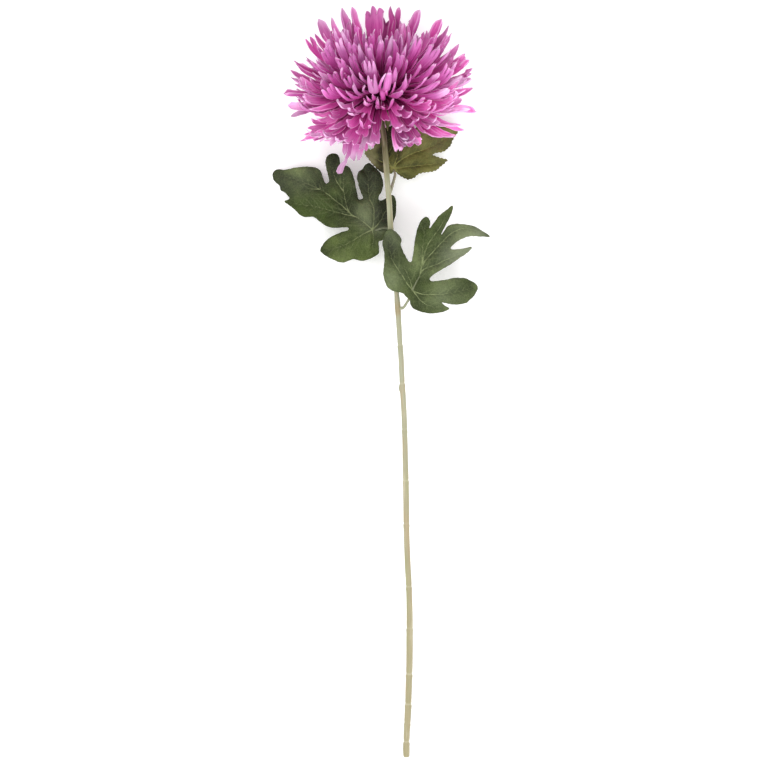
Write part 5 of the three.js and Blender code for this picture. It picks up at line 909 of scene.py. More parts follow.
# florets with a shape of their own, by whorl and azimuth
SINGLE = {
    (1, 248): dict(F=3, total=18.4, notched=True, split=0.9, tips=[0.955, 1.01, 0.985], pointed=False, curl=4, twist=0.2, tone=0.92, pull=[(0.4, 0, 0), (1, 0.9, 0)]),
    (1, 287): dict(F=1, total=8.6, pointed=True, curl=2, twist=0.3, pull=[(0.4, 0, 0), (0.78, 2.7, 0), (1, -0.54, 0.45)]),
    (2, 296): dict(F=1, total=8.2, pointed=False, curl=2, twist=0.3, pull=[(0.4, 0, 0), (1, 1.35, 0.45)]),
    (2, 221): dict(F=1, total=7.8, pointed=False, curl=2, twist=0.4, tone=1.12, bleach=0.05, pull=[(0.4, 0, 0), (1, -2.7, -0.36)]),
    (3, 212): dict(F=1, total=10.0, pointed=True, curl=2, twist=0.15, tone=1.22, pull=[(0.4, 0, 0), (1, -1.8, 0.27)]),
    (3, 328): dict(F=1, total=12.0, pointed=False, curl=3, twist=0.1, round=2.2, tone=1.22, bleach=-0.1, pull=[(0.4, 0, 0), (1, 3.6, -0.45)]),
    (4, 203): dict(F=1, total=7.4, pointed=True, curl=4, pull=[(0.4, 0, 0), (1, -2.34, 0.45)]),
    (4, 285): dict(F=2, total=11.0, notched=True, split=0.9, pointed=False, curl=6),
    (4, 228): dict(F=2, total=11.0, notched=True, split=0.88, pointed=True, curl=6),
    (5, 199): dict(F=1, total=12.0, pointed=False, curl=4, round=2.2, tone=0.78, bleach=-0.04, pull=[(0.4, 0, 0), (1, -2.34, -0.36)]),
    (5, 340): dict(F=1, total=12.4, pointed=False, round=2.0, curl=4, twist=0.25, pull=[(0.4, 0, 0), (1, 4.95, -0.54)]),
    (6, 343): dict(F=1, total=9.6, pointed=True, curl=3, twist=0.4, pull=[(0.4, 0, 0), (1, 0.9, -0.27)]),
    (7, 345): dict(F=1, total=7.6, pointed=True, curl=3, twist=0.5, pull=[(0.4, 0, 0), (1, 1.08, 0)]),
    (8, 349): dict(F=1, total=9.6, pointed=True, curl=3, roll=-30, pull=[(0.4, 0, 0), (1, 1.44, 1.44)]),
    (8, 359.5): dict(F=1, total=8.4, pointed=True, curl=1, twist=0.4, roll=-26, pull=[(0.4, 0, 0), (1, 1.44, 0)]),
    (8, 174): dict(F=1, total=7.6, pointed=True, curl=2, twist=0.6),
    (9, 5.5): dict(F=2, total=12.0, notched=True, split=0.88, pointed=False, curl=2, twist=0.4, roll=-36, pull=[(0.4, 0, 0), (1, 0.72, 0.9)]),
    (9, 175): dict(F=1, total=7.8, pointed=True, curl=2, twist=0.5),
    (10, 358.4): dict(F=2, total=10.6, notched=True, split=0.88, pointed=True, curl=1, twist=0.4),
    (11, 352): dict(F=1, total=9.6, pointed=False, curl=2, twist=0.3),
    (12, 0.2): dict(F=1, total=9.4, pointed=True, curl=1, twist=0.4, roll=-36, pull=[(0.4, 0, 0), (1, 0, -1.44)]),
    (12, 9.7): dict(F=1, total=9.0, pointed=True, curl=3, twist=0.4),
    (14, 13.3): dict(F=1, total=8.0, pointed=True, curl=2, twist=0.5),
    (14, 22.3): dict(F=1, total=6.4, pointed=True, curl=3, twist=0.5),
    (15, 8.5): dict(F=1, total=7.6, pointed=False, curl=1, twist=0.5),
    (15, 352): dict(F=1, total=9.0, pointed=False, curl=-3, twist=0.3, tips=[0.985], roll=-34, pull=[(0.4, 0, 0), (0.84, 0, 2.34), (1, 1.8, -0.54)]),
    (16, 0.4): dict(F=1, total=7.0, pointed=True, curl=0, twist=0.4, roll=-30, pull=[(0.4, 0, 0), (0.8, 0, 1.26), (1, 0, 0.54)]),
    (17, 1.4): dict(F=1, total=5.4, pointed=True, curl=2, twist=0.5, pull=[(0.4, 0, 0), (0.75, 0, -4.95), (1, 0, -1.62)]),
    (7, 193): dict(F=2, total=9.5, notched=True, split=0.86, pointed=True, curl=5),
    (11, 185): dict(F=1, total=9.0, pointed=True, curl=1, twist=0.3),
    (11, 172): dict(F=1, total=8.4, pointed=True, curl=1, twist=0.4),
    (12, 167): dict(F=1, total=8.8, pointed=False, curl=0, twist=0.3, waist=0.86, paddle=1.05, shoulder=0.86, round=2.6, pull=[(0.45, 0, 0), (0.8, 0, 2.7), (1, 0, -0.36)]),
    (14, 168): dict(F=1, total=10.0, pointed=False, curl=0, twist=0.2, waist=1.0, paddle=0.95, shoulder=0.9, round=3.2, roll=48, pull=[(0.4, 0, 0), (0.75, 0, 0.54), (1, 0, 0)]),
    (14, 178.5): dict(F=1, total=4.8, pointed=False, curl=-2, twist=0.2, waist=0.9, paddle=1.0, roll=40, tone=0.84, pull=[(0.4, 0, 0), (0.72, 0, 4.14), (0.86, 0, 2.16), (1, 0, -0.72)]),
    (15, 85.3): dict(F=2, total=8.4, notched=True, split=0.84, pointed=False, curl=-14, twist=0.3, pull=[(0.4, 0, 0), (1, 0.9, -0.9)]),
    (16, 90.4): dict(F=1, total=6.4, pointed=False, curl=-16, twist=0.3, pull=[(0.4, 0, 0), (1, -1.8, -1.8)]),
    (23, 158.5): dict(F=1, total=7.2, pointed=False, curl=-2, gap=0.9, waist=0.4, paddle=1.05, split=0.62, tips=[0.972], shoulder=0.94, round=3.2, roll=66, tone=0.56, bleach=0.12, pull=[(0.35, 0, 0), (0.66, 6.3, 0), (0.8, 4.5, 0), (0.9, 1.08, 0), (1, -0.27, 0)]),
    (14, 39): dict(F=1, total=7.0, pointed=True, curl=2, pull=[(0.4, 0, 0), (1, -1.8, -0.45)]),
    (14, 47.1): dict(F=1, total=7.6, pointed=False, curl=8),
    (15, 29.5): dict(F=1, total=6.0, pointed=True, curl=2, twist=0.5, pull=[(0.4, 0, 0), (1, 0, 1.98)]),
    (16, 17.8): dict(F=1, total=7.4, pointed=True, curl=2, twist=0.5, pull=[(0.4, 0, 0), (1, 1.35, 1.08)]),
    (12, 190): dict(F=1, total=8.0, pointed=True, curl=2),
    (22, 172): dict(F=2, total=11.5, notched=True, split=0.84, pointed=True, curl=4, roll=50, tone=0.8, pull=[(0.4, 0, 0), (1, -0.9, -1.8)]),
    (22, 188.8): dict(F=1, total=9.0, pointed=True, curl=6, roll=60, tone=0.8, pull=[(0.4, 0, 0), (1, 0, -0.9)]),
    (23, 203.4): dict(F=1, total=8.5, pointed=True, curl=6, roll=50, tone=0.8),
    (24, 177.9): dict(F=1, total=10.5, pointed=True, curl=4, roll=50, tone=0.76, bleach=0.04, pull=[(0.4, 0, 0), (1, 0, -1.44)]),
    (24, 197): dict(F=2, total=11.0, notched=True, split=0.84, pointed=True, curl=4, roll=60, tone=0.8, bleach=0.0, pull=[(0.4, 0, 0), (1, -0.9, -1.8)]),
    (4, 268.7): dict(F=2, total=13.5, notched=True, split=0.9, pointed=False, curl=4, tone=0.92, pull=[(0.4, 0, 0), (1, 5.4, 5.04)]),
    (16, 331.6): dict(F=1, total=8.0, pointed=True, curl=2, pull=[(0.4, 0, 0), (1, 4.5, -3.6)]),
    (14, 30.9): dict(F=1, total=6.6, pointed=True, curl=2, pull=[(0.4, 0, 0), (1, -0.9, -1.44)]),
    (17, 338.5): dict(F=1, total=7.6, pointed=True, curl=2, pull=[(0.4, 0, 0), (1, 0, 1.8)]),
    (17, 348.4): dict(F=1, total=7.0, pointed=True, curl=2, pull=[(0.4, 0, 0), (1, -0.9, 1.44)]),
    (17, 20.4): dict(F=1, total=5.4, pointed=True, curl=1, pull=[(0.4, 0, 0), (0.75, 0, -4.95), (1, 0, -3.42)]),
    (17, 10.6): dict(F=1, total=5.4, pointed=True, curl=1, pull=[(0.4, 0, 0), (0.75, 0, -4.95), (1, 0.9, -2.34)]),
    (16, 72): dict(tone=0.78, pull=[(0.4, 0, 0), (1, 0, 0.9)]),
    (16, 73.7): dict(tone=0.78, pull=[(0.4, 0, 0), (1, 0, 0.9)]),
    (17, 72): dict(tone=0.78, pull=[(0.4, 0, 0), (1, 0, 0.9)]),
    (18, 63.8): dict(F=1, total=7.0, pointed=True, curl=4, pull=[(0.4, 0, 0), (1, -0.9, 0.9)]),
    (19, 58): dict(tone=0.78, pull=[(0.4, 0, 0), (1, 0, 0.9)]),
    (21, 52.3): dict(tone=0.78, pull=[(0.4, 0, 0), (1, 0, 0.9)]),
    (22, 40.4): dict(tone=0.78, pull=[(0.4, 0, 0), (1, 0, 0.9)]),
    (22, 24.1): dict(tone=0.78, pull=[(0.4, 0, 0), (1, 0, 0.9)]),
    (23, 10.1): dict(tone=0.78, pull=[(0.4, 0, 0), (1, 0, 0.9)]),
    (24, 349.5): dict(tone=0.78, pull=[(0.4, 0, 0), (1, 0, 0.9)]),
    (19, 47.4): dict(tone=0.78, pull=[(0.4, 0, 0), (1, 0, 0.9)]),
    (22, 53.7): dict(tone=0.78, pull=[(0.4, 0, 0), (1, 0, 0.9)]),
    (17, 150.9): dict(F=1, total=8.4, pointed=True, curl=2, twist=0.4, round=1.3, pull=[(0.4, 0, 0), (1, 0, 0)]),
    (17, 159.8): dict(F=1, total=7.6, pointed=True, curl=2, twist=0.4, round=1.2, shoulder=0.1, pull=[(0.4, 0, 0), (1, -3.6, -1.44)]),
    (17, 169.2): dict(F=1, total=8.4, pointed=True, curl=2, twist=0.4, round=1.3, pull=[(0.4, 0, 0), (1, 0.9, -0.54)]),
    (17, 180): dict(F=1, total=8.4, pointed=True, curl=2, twist=0.4, round=1.3, pull=[(0.4, 0, 0), (1, 3.6, 0)]),
    (17, 189.7): dict(F=1, total=8.4, pointed=True, curl=2, twist=0.4, round=1.3, pull=[(0.4, 0, 0), (1, 3.15, 0)]),
    (18, 191.9): dict(F=1, total=8.0, pointed=True, curl=2, pull=[(0.4, 0, 0), (1, 1.8, -0.45)]),
    (22, 126.9): dict(F=2, total=11.0, notched=True, split=0.86, pointed=True, curl=4, roll=24, tone=0.78, bleach=0.0),
    (24, 140.9): dict(F=2, total=9.5, notched=True, split=0.86, pointed=True, curl=4, roll=36, tone=0.84, bleach=0.0, pull=[(0.4, 0, 0), (1, 0, -0.9)]),
    (19, 274.4): dict(F=1, total=9.0, pointed=True, curl=2, pull=[(0.4, 0, 0), (1, 3.6, -6.3)]),
    (21, 291.7): dict(F=1, total=8.0, pointed=True, curl=2, pull=[(0.4, 0, 0), (1, -1.8, -3.6)]),
    (20, 273.2): dict(F=1, total=8.0, pointed=True, curl=2, pull=[(0.4, 0, 0), (1, 1.8, 0)]),
    (9, 96.6): dict(F=2, total=9.6, notched=True, split=0.8, pointed=True, curl=24, bleach=0.3, pull=[(0.3, 0, 0), (0.62, 0.9, -4.5), (1, 0.9, 0)]),
    (9, 86.4): dict(F=1, total=7.4, pointed=False, curl=18, bleach=0.26, pull=[(0.3, 0, 0), (0.6, 0.9, -2.7), (1, 0.9, 0)]),
    (8, 82.1): dict(F=2, total=9.4, notched=True, split=0.82, pointed=True, curl=14, bleach=0.2),
    (8, 98.9): dict(F=3, total=11.0, notched=True, split=0.84, pointed=True, curl=10, bleach=0.16),
    (17, 46.1): dict(F=1, total=6.6, pointed=True, curl=2, pull=[(0.4, 0, 0), (1, 0, 0.9)]),
    (18, 39.4): dict(F=1, total=7.0, pointed=True, curl=2, pull=[(0.4, 0, 0), (1, 0.9, 0.9)]),
    (16, 38.3): dict(F=1, total=5.6, pointed=True, curl=2, pull=[(0.4, 0, 0), (0.8, 0, -2.16), (1, 0.9, -1.44)]),
    (18, 26.3): dict(F=1, total=6.6, pointed=True, curl=2, pull=[(0.4, 0, 0), (1, 0, 0.9)]),
    (16, 65.1): dict(F=1, total=6.6, pointed=True, curl=4, pull=[(0.4, 0, 0), (1, -0.9, 0)]),
    (20, 36.5): dict(F=1, total=7.0, pointed=True, curl=4, pull=[(0.4, 0, 0), (1, -0.9, 0.9)]),
    (23, 333.6): dict(F=1, total=8.0, pointed=True, curl=4, pull=[(0.4, 0, 0), (1, 0, -0.9)]),
    (22, 347.5): dict(F=1, total=7.6, pointed=True, curl=4, pull=[(0.4, 0, 0), (1, -0.9, -0.9)]),
    (22, 8.3): dict(F=1, total=8.0, pointed=True, curl=4, roll=-30, pull=[(0.4, 0, 0), (1, 0, -0.9)]),
    (7, 210.3): dict(F=1, total=7.0, pointed=True, curl=4, pull=[(0.4, 0, 0), (1, -3.6, 0)]),
    (8, 328.5): dict(F=1, total=9.6, pointed=True, curl=3, pull=[(0.4, 0, 0), (1, -0.9, 1.8)]),
    (13, 1.8): dict(F=1, total=9.0, pointed=False, curl=4, twist=0.4, roll=-34, pull=[(0.4, 0, 0), (1, 0, -0.54)]),
    (19, 349.1): dict(F=1, total=6.0, pointed=True, curl=2, pull=[(0.4, 0, 0), (0.75, 0, -4.14), (1, 0, -1.44)]),
    (19, 1.4): dict(F=1, total=7.2, pointed=True, curl=2, pull=[(0.4, 0, 0), (0.75, 0, -2.7), (1, 0, 0)]),
    (19, 13.9): dict(F=1, total=6.8, pointed=True, curl=2, pull=[(0.4, 0, 0), (0.75, 0, -1.8), (1, 0, 0)]),
    (21, 356.6): dict(F=1, total=7.0, pointed=True, curl=4, pull=[(0.4, 0, 0), (1, -2.25, -2.25)]),
    (18, 53.8): dict(F=1, total=7.0, pointed=True, curl=4, pull=[(0.4, 0, 0), (1, 0, -0.9)]),
    (20, 21.8): dict(F=1, total=7.0, pointed=True, curl=4, pull=[(0.4, 0, 0), (1, -0.9, -2.7)]),
    (23, 47.9): dict(F=2, total=9.6, notched=True, split=0.84, pointed=True, curl=10, pull=[(0.2, 0, 0), (0.6, -2.88, 0), (1, -0.45, 0)]),
    (24, 41.1): dict(F=2, total=9.6, notched=True, split=0.84, pointed=True, curl=10, pull=[(0.2, 0, 0), (0.6, -2.88, 0), (1, -0.45, 0)]),
    (17, 30.5): dict(F=1, total=5.6, pointed=True, curl=2, pull=[(0.4, 0, 0), (0.8, 0, -1.08), (1, 0, 0)]),
}


def floret_style(rng, row, base, whorl=-1):
    azimuth, polar, reach, width, third, root, twist = row
    own = next((v for (w, a), v in SINGLE.items() if w == whorl and abs((azimuth - a + 180) % 360 - 180) < 1.2), {})
    toward = math.sin(math.radians(azimuth))  # 1 for the florets that point at the viewer
    sideways = abs(math.cos(math.radians(azimuth)))
    lower = float(smooth(polar, 70, 115))
    # painted light and shade: the florets on the right are given a paler colour, as if lit, and those above the crown a
    # deeper one, as if shaded
    pale = float(smooth(math.cos(math.radians(azimuth)), 0.45, 0.95) * smooth(polar, 50, 80))
    deep = float(1 - smooth(polar, 45, 80))
    short = reach < 76 and 55 < polar < 100 and toward > 0.8
    chance = np.interp(polar, [0, 25, 50, 90, 110, 155], [0.2, 0.58, 0.72, 0.7, 0.56, 0.5])
    three = np.interp(polar, [0, 60, 90, 120, 155], [0.15, 0.38, 0.38, 0.3, 0.3])
    F = 1 if rng.random() > chance else (3 if rng.random() < three else 2)
    if short:
        F = 1 if rng.random() < 0.3 else (2 if rng.random() < 0.6 else 3)
    F = own.get("F", F)
    # some are notched paddles, others are split into narrow fingers
    notched = F > 1 and rng.random() < np.interp(polar, [20, 50, 100], [0.5, 0.3, 0.2])
    notched = own.get("notched", notched)
    total = width * {1: rng.uniform(0.8, 1.1), 2: rng.uniform(1.25, 1.55), 3: rng.uniform(1.75, 2.15)}[F]
    total *= 1 + 0.2 * lower
    if notched:
        total *= 0.86
    if short:
        total *= 1.15
    if polar < 9:
        total = 4.0
    total = own.get("total", total)
    split = rng.uniform(0.46, 0.72) + 0.12 * lower if F > 1 else 0.62
    if notched:
        split = rng.uniform(0.84, 0.93)
    split = own.get("split", split)
    splits = np.array([split] * (F + 1))
    if F > 1:
        reachable = 0.02 if notched else 0.08
        splits = np.array([split + 0.02] + [split + rng.uniform(-reachable, reachable) for _ in range(F - 1)] + [split + 0.02])
    tips = 1 - rng.uniform(0, 0.04 if notched else 0.16, F)
    tips[rng.integers(F)] = 1.0
    if F > 1:
        tips = np.maximum(tips, split + 0.05)
    tips = np.array(own.get("tips", tips))
    base_curl = math.radians(np.interp(polar, [5, 30, 70, 100, 130, 155], [20, 16, 20, 26, 34, 20]))
    curl = base_curl * rng.uniform(0.1, 1.8, F) * np.where(rng.random(F) < 0.2 * (1 - lower), -0.8, 1.0)
    if toward < -0.15:
        curl = curl * 0.45
    if short:
        curl = np.radians(rng.uniform(5, 80, F))
    if notched:
        curl = curl.mean() * rng.uniform(0.9, 1.1, F)
    if "curl" in own:
        curl = np.radians(own["curl"]) * rng.uniform(0.8, 1.2, F)
    side = np.linspace(-1, 1, F) if F > 1 else np.zeros(1)
    pointed = own.get("pointed", rng.random() < 0.5 + 0.2 * lower)
    crumple = rng.uniform(0.3, 1.2) * (0.75 - 0.3 * lower)
    calm = 0.35 if own else 1.0
    return {
        "lean": lean(polar),
        "fingers": F,
        "cols": {1: 8, 2: 6, 3: 5}[F],
        "base_rows": 16,
        "tip_rows": 12,
        "width": total,
        "flare": 0.74,
        "splits": splits,
        "tips": tips,
        "tip_power": 0.85,
        "gap": own.get("gap", (0.98 if notched else rng.uniform(0.8, 0.92)) if F > 1 else 1.0),
        "waist": own.get("waist", (1.0 if notched else rng.uniform(0.74, 0.92)) if F > 1 else rng.uniform(0.9, 1.04)),
        "paddle": own.get("paddle", rng.uniform(0.78, 1.04)),
        "round": own.get("round", rng.uniform(1.3, 1.8) if pointed else rng.uniform(1.9, 2.6)),
        "shoulder": own.get("shoulder", (0.1 if notched else rng.uniform(0.2, 0.5)) if pointed else
                            (0.15 if notched else rng.uniform(0.55, 0.8))),
        "blunt": rng.uniform(0.04, 0.16, F) if pointed else rng.uniform(0.14, 0.34, F),
        "spread": side * (0.02 if notched else rng.uniform(0.04, 0.18)) + rng.normal(0, 0.03, F) * calm,
        "sway": rng.normal(0, 0.08 + 0.02 * lower, F) * (0.3 if notched else 1.0) * calm,
        "curl": curl,
        "curl_power": 1.3,
        "lift": rng.normal(0, 0.9 + 0.5 * lower, F) * (0.3 if notched else 1.0) * calm,
        "twist": own.get("twist", rng.uniform(0.6, 1.5)),
        "arc": [1.35, 1.15, 0.85, 0.4 + 0.35 * rng.random(), 0.25 + 0.35 * rng.random()],
        "cup": rng.uniform(0.05, 0.45),
        "rim": rng.uniform(0.3, 1.5) * (1 - 0.4 * lower),
        "rib": rng.uniform(0.1, 0.34),
        "wave": (rng.uniform(0.15, 0.45) + 0.25 * lower * rng.random()) * calm,
        "wave_len": rng.uniform(7, 16),
        "crumple": crumple * (0.6 if own else 1.0),
        "wander": rng.normal(0, 1.0, 2) * [1.2, 1.6] * calm,
        "phase": rng.uniform(0, 2, 4) * [math.pi, math.pi, 1, 1],
        "thick": 0.34,
        "pull": own.get("pull"),
        "roll": own.get("roll", 0.0),
        # painted light and shade: bleach also lightens the lower and right-hand florets and deepens those by the crown
        "bleach": own.get("bleach", (rng.uniform(0.06, 0.24) if rng.random() < 0.16 and not own else 0.0)
                          + 0.05 * lower + 0.12 * pale - 0.03 * deep),
        "seed": rng.uniform(0, 500),
        "rnd": rng.random(),
        "tear": (0.0 if rng.random() < 0.3 else rng.uniform(0.25, 1.0)) * (0.35 if own else 1.0),
        # painted light and shade: besides a random factor and any listed tone, tone darkens upper florets that point
        # away from the viewer and those by the crown, and brightens the right side, the lower sideways florets and the
        # short centre florets
        "tone": rng.uniform(0.81, 1.18) * (1 - 0.13 * float(smooth(-toward, 0.0, 0.5)) * (1 - lower)) * own.get("tone", 1.0)
        * (1 + 0.22 * pale) * (1 - 0.045 * lower + 0.17 * lower * float(smooth(sideways, 0.3, 0.8))) * (1.25 if short else 1.0)
        * (1 + float(smooth(toward, 0.2, 0.7)) * (0.05 * (1 - lower) - 0.17 * (1 - float(smooth(polar, 50, 75))))),
    }


def bract_style(rng):
    return {
        "lean": -4.0, "fingers": 1, "cols": 8, "base_rows": 9, "tip_rows": 12, "width": 5.6, "flare": 0.55,
        "splits": np.array([0.5, 0.5]), "tips": np.array([1.0]), "tip_power": 0.9, "gap": 1.0, "waist": 0.82,
        "paddle": 0.5, "round": 1.25, "shoulder": 0.2, "blunt": np.array([0.06]), "spread": np.zeros(1),
        "sway": rng.normal(0, 0.06, 1), "curl": np.array([-0.15 - 0.3 * rng.random()]), "curl_power": 1.2,
        "lift": np.zeros(1), "twist": 1.0, "arc": [1.0, 0.9, 0.7, 0.5, 0.4], "cup": 0.3, "rim": 0.4, "rib": 0.06,
        "wave": 0.12, "wave_len": 7.0, "crumple": 0.2, "wander": np.zeros(2), "phase": rng.uniform(0, 2, 4), "thick": 0.5, "tear": 0.0,
        "pull": None, "roll": 0.0, "bleach": 0.0,
        "seed": rng.uniform(0, 500), "rnd": rng.random(), "tone": rng.uniform(0.9, 1.1),
    }


# ---- leaves -----------------------------------------------------------------------------------------------------------
def closed_curve(points, step):
    """A closed Catmull-Rom curve through the points, at an even step."""
    p = np.asarray(points, float)
    out = []
    n = len(p)
    for i in range(n):
        a, b, c, d = p[i - 1], p[i], p[(i + 1) % n], p[(i + 2) % n]
        k = max(2, int(np.linalg.norm(c - b) / step * 3))
        t = (np.arange(k) / k)[:, None]
        out.append(0.5 * (2 * b + (c - a) * t + (2 * a - 5 * b + 4 * c - d) * t**2 + (3 * b - a - 3 * c + d) * t**3))
    q = np.concatenate(out)
    q = np.vstack([q, q[:1]])
    run = np.concatenate([[0], np.cumsum(np.linalg.norm(np.diff(q, axis=0), axis=1))])
    m = max(8, int(run[-1] / step))
    at = np.linspace(0, run[-1], m, endpoint=False)
    return np.stack([np.interp(at, run, q[:, k]) for k in range(2)], -1)


def open_curve(points, step):
    p = np.asarray(points, float)
    if len(p) == 2:
        p = np.vstack([p[0], p.mean(0), p[1]])
    e = np.vstack([2 * p[0] - p[1], p, 2 * p[-1] - p[-2]])
    out = []
    for i in range(1, len(e) - 2):
        a, b, c, d = e[i - 1 : i + 3]
        k = max(2, int(np.linalg.norm(c - b) / step * 2))
        t = (np.arange(k) / k)[:, None]
        out.append(0.5 * (2 * b + (c - a) * t + (2 * a - 5 * b + 4 * c - d) * t**2 + (3 * b - a - 3 * c + d) * t**3))
    out.append(p[-1:])
    q = np.concatenate(out)
    run = np.concatenate([[0], np.cumsum(np.linalg.norm(np.diff(q, axis=0), axis=1))])
    m = max(2, int(run[-1] / step) + 1)
    at = np.linspace(0, run[-1], m)
    return np.stack([np.interp(at, run, q[:, k]) for k in range(q.shape[1])], -1)


def is_inside(loop, pts):
    x, y = pts[:, 0][:, None], pts[:, 1][:, None]
    a, b = loop, np.roll(loop, -1, 0)
    crosses = (a[:, 1] > y) != (b[:, 1] > y)
    with np.errstate(divide="ignore", invalid="ignore"):
        cut = (b[:, 0] - a[:, 0]) * (y - a[:, 1]) / (b[:, 1] - a[:, 1]) + a[:, 0]
    return (np.sum(crosses & (x < cut), 1) % 2) == 1


def line_distance(a, b, pts, extra=None):
    """Distance of each point to the segments a-b, and a value carried along the nearest one."""
    best = np.full(len(pts), 1e9)
    carried = np.zeros(len(pts))
    d = b - a
    dd = np.maximum((d**2).sum(1), 1e-12)
    for i in range(0, len(pts), 2000):
        q = pts[i : i + 2000, None, :]
        t = np.clip(((q - a) * d).sum(2) / dd, 0, 1)
        near = np.linalg.norm(q - a - d * t[..., None], axis=2)
        k = near.argmin(1)
        best[i : i + 2000] = near[np.arange(len(k)), k]
        if extra is not None:
            tt = t[np.arange(len(k)), k]
            carried[i : i + 2000] = extra[0][k] * (1 - tt) + extra[1][k] * tt
    return best, carried


def side_veins(mains, loop, rng, gap):
    """Smaller veins that leave each main vein and run towards the margin."""
    a, b = loop, np.roll(loop, -1, 0)
    found = []
    for index, line in enumerate(mains):
        others = [m for k, m in enumerate(mains) if k != index]
        oa = np.concatenate([m[:-1] for m in others])
        ob = np.concatenate([m[1:] for m in others])
        run = np.concatenate([[0], np.cumsum(np.linalg.norm(np.diff(line, axis=0), axis=1))])
        at, sign = gap * rng.uniform(0.9, 1.4), 1 if rng.random() < 0.5 else -1
        while at < run[-1] - 2:
            p = np.array([np.interp(at, run, line[:, k]) for k in range(2)])
            q = np.array([np.interp(min(at + 1, run[-1]), run, line[:, k]) for k in range(2)])
            d = unit(q - p)
            angle = sign * math.radians(rng.uniform(40, 52))
            c, s = math.cos(angle), math.sin(angle)
            go = np.array([d[0] * c - d[1] * s, d[0] * s + d[1] * c])
            turn = -sign * math.radians(rng.uniform(0.6, 2.0))
            path = [p]
            for n in range(30):
                c, s = math.cos(turn), math.sin(turn)
                go = np.array([go[0] * c - go[1] * s, go[0] * s + go[1] * c])
                nxt = path[-1] + go * 1.0
                if not is_inside(loop, nxt[None])[0]:
                    break
                if line_distance(a, b, nxt[None])[0][0] < 1.3:
                    break
                if n > 2 and line_distance(oa, ob, nxt[None])[0][0] < 1.6:
                    break
                path.append(nxt)
            if len(path) > 4:
                found.append(np.array(path))
            at += gap * rng.uniform(0.45, 0.7)
            sign = -sign
    return found


def tube(line, radii, sides, sideways):
    """Points, quads and triangles of a closed rod, with each cap a fan of triangles to a centre point at its end."""
    line, radii = np.asarray(line, float), np.asarray(radii, float)
    t = unit(np.gradient(line, axis=0))
    u = unit(sideways - t * (t @ sideways)[:, None])
    w = np.cross(t, u)
    f = 2 * math.pi * (np.arange(sides) + 0.5) / sides
    ring = line[:, None] + radii[:, None, None] * (u[:, None] * np.cos(f)[None, :, None] + w[:, None] * np.sin(f)[None, :, None])
    points = ring.reshape(-1, 3)
    idx = np.arange(len(points)).reshape(len(line), sides)
    nxt = np.roll(idx, -1, 1)
    quads = np.stack([idx[:-1], nxt[:-1], nxt[1:], idx[1:]], -1).reshape(-1, 4)
    a, b = len(points), len(points) + 1
    points = np.vstack([points, line[0], line[-1]])
    tris = [(a, nxt[0, k], idx[0, k]) for k in range(sides)] + [(b, idx[-1, k], nxt[-1, k]) for k in range(sides)]
    return points, quads, np.array(tris)


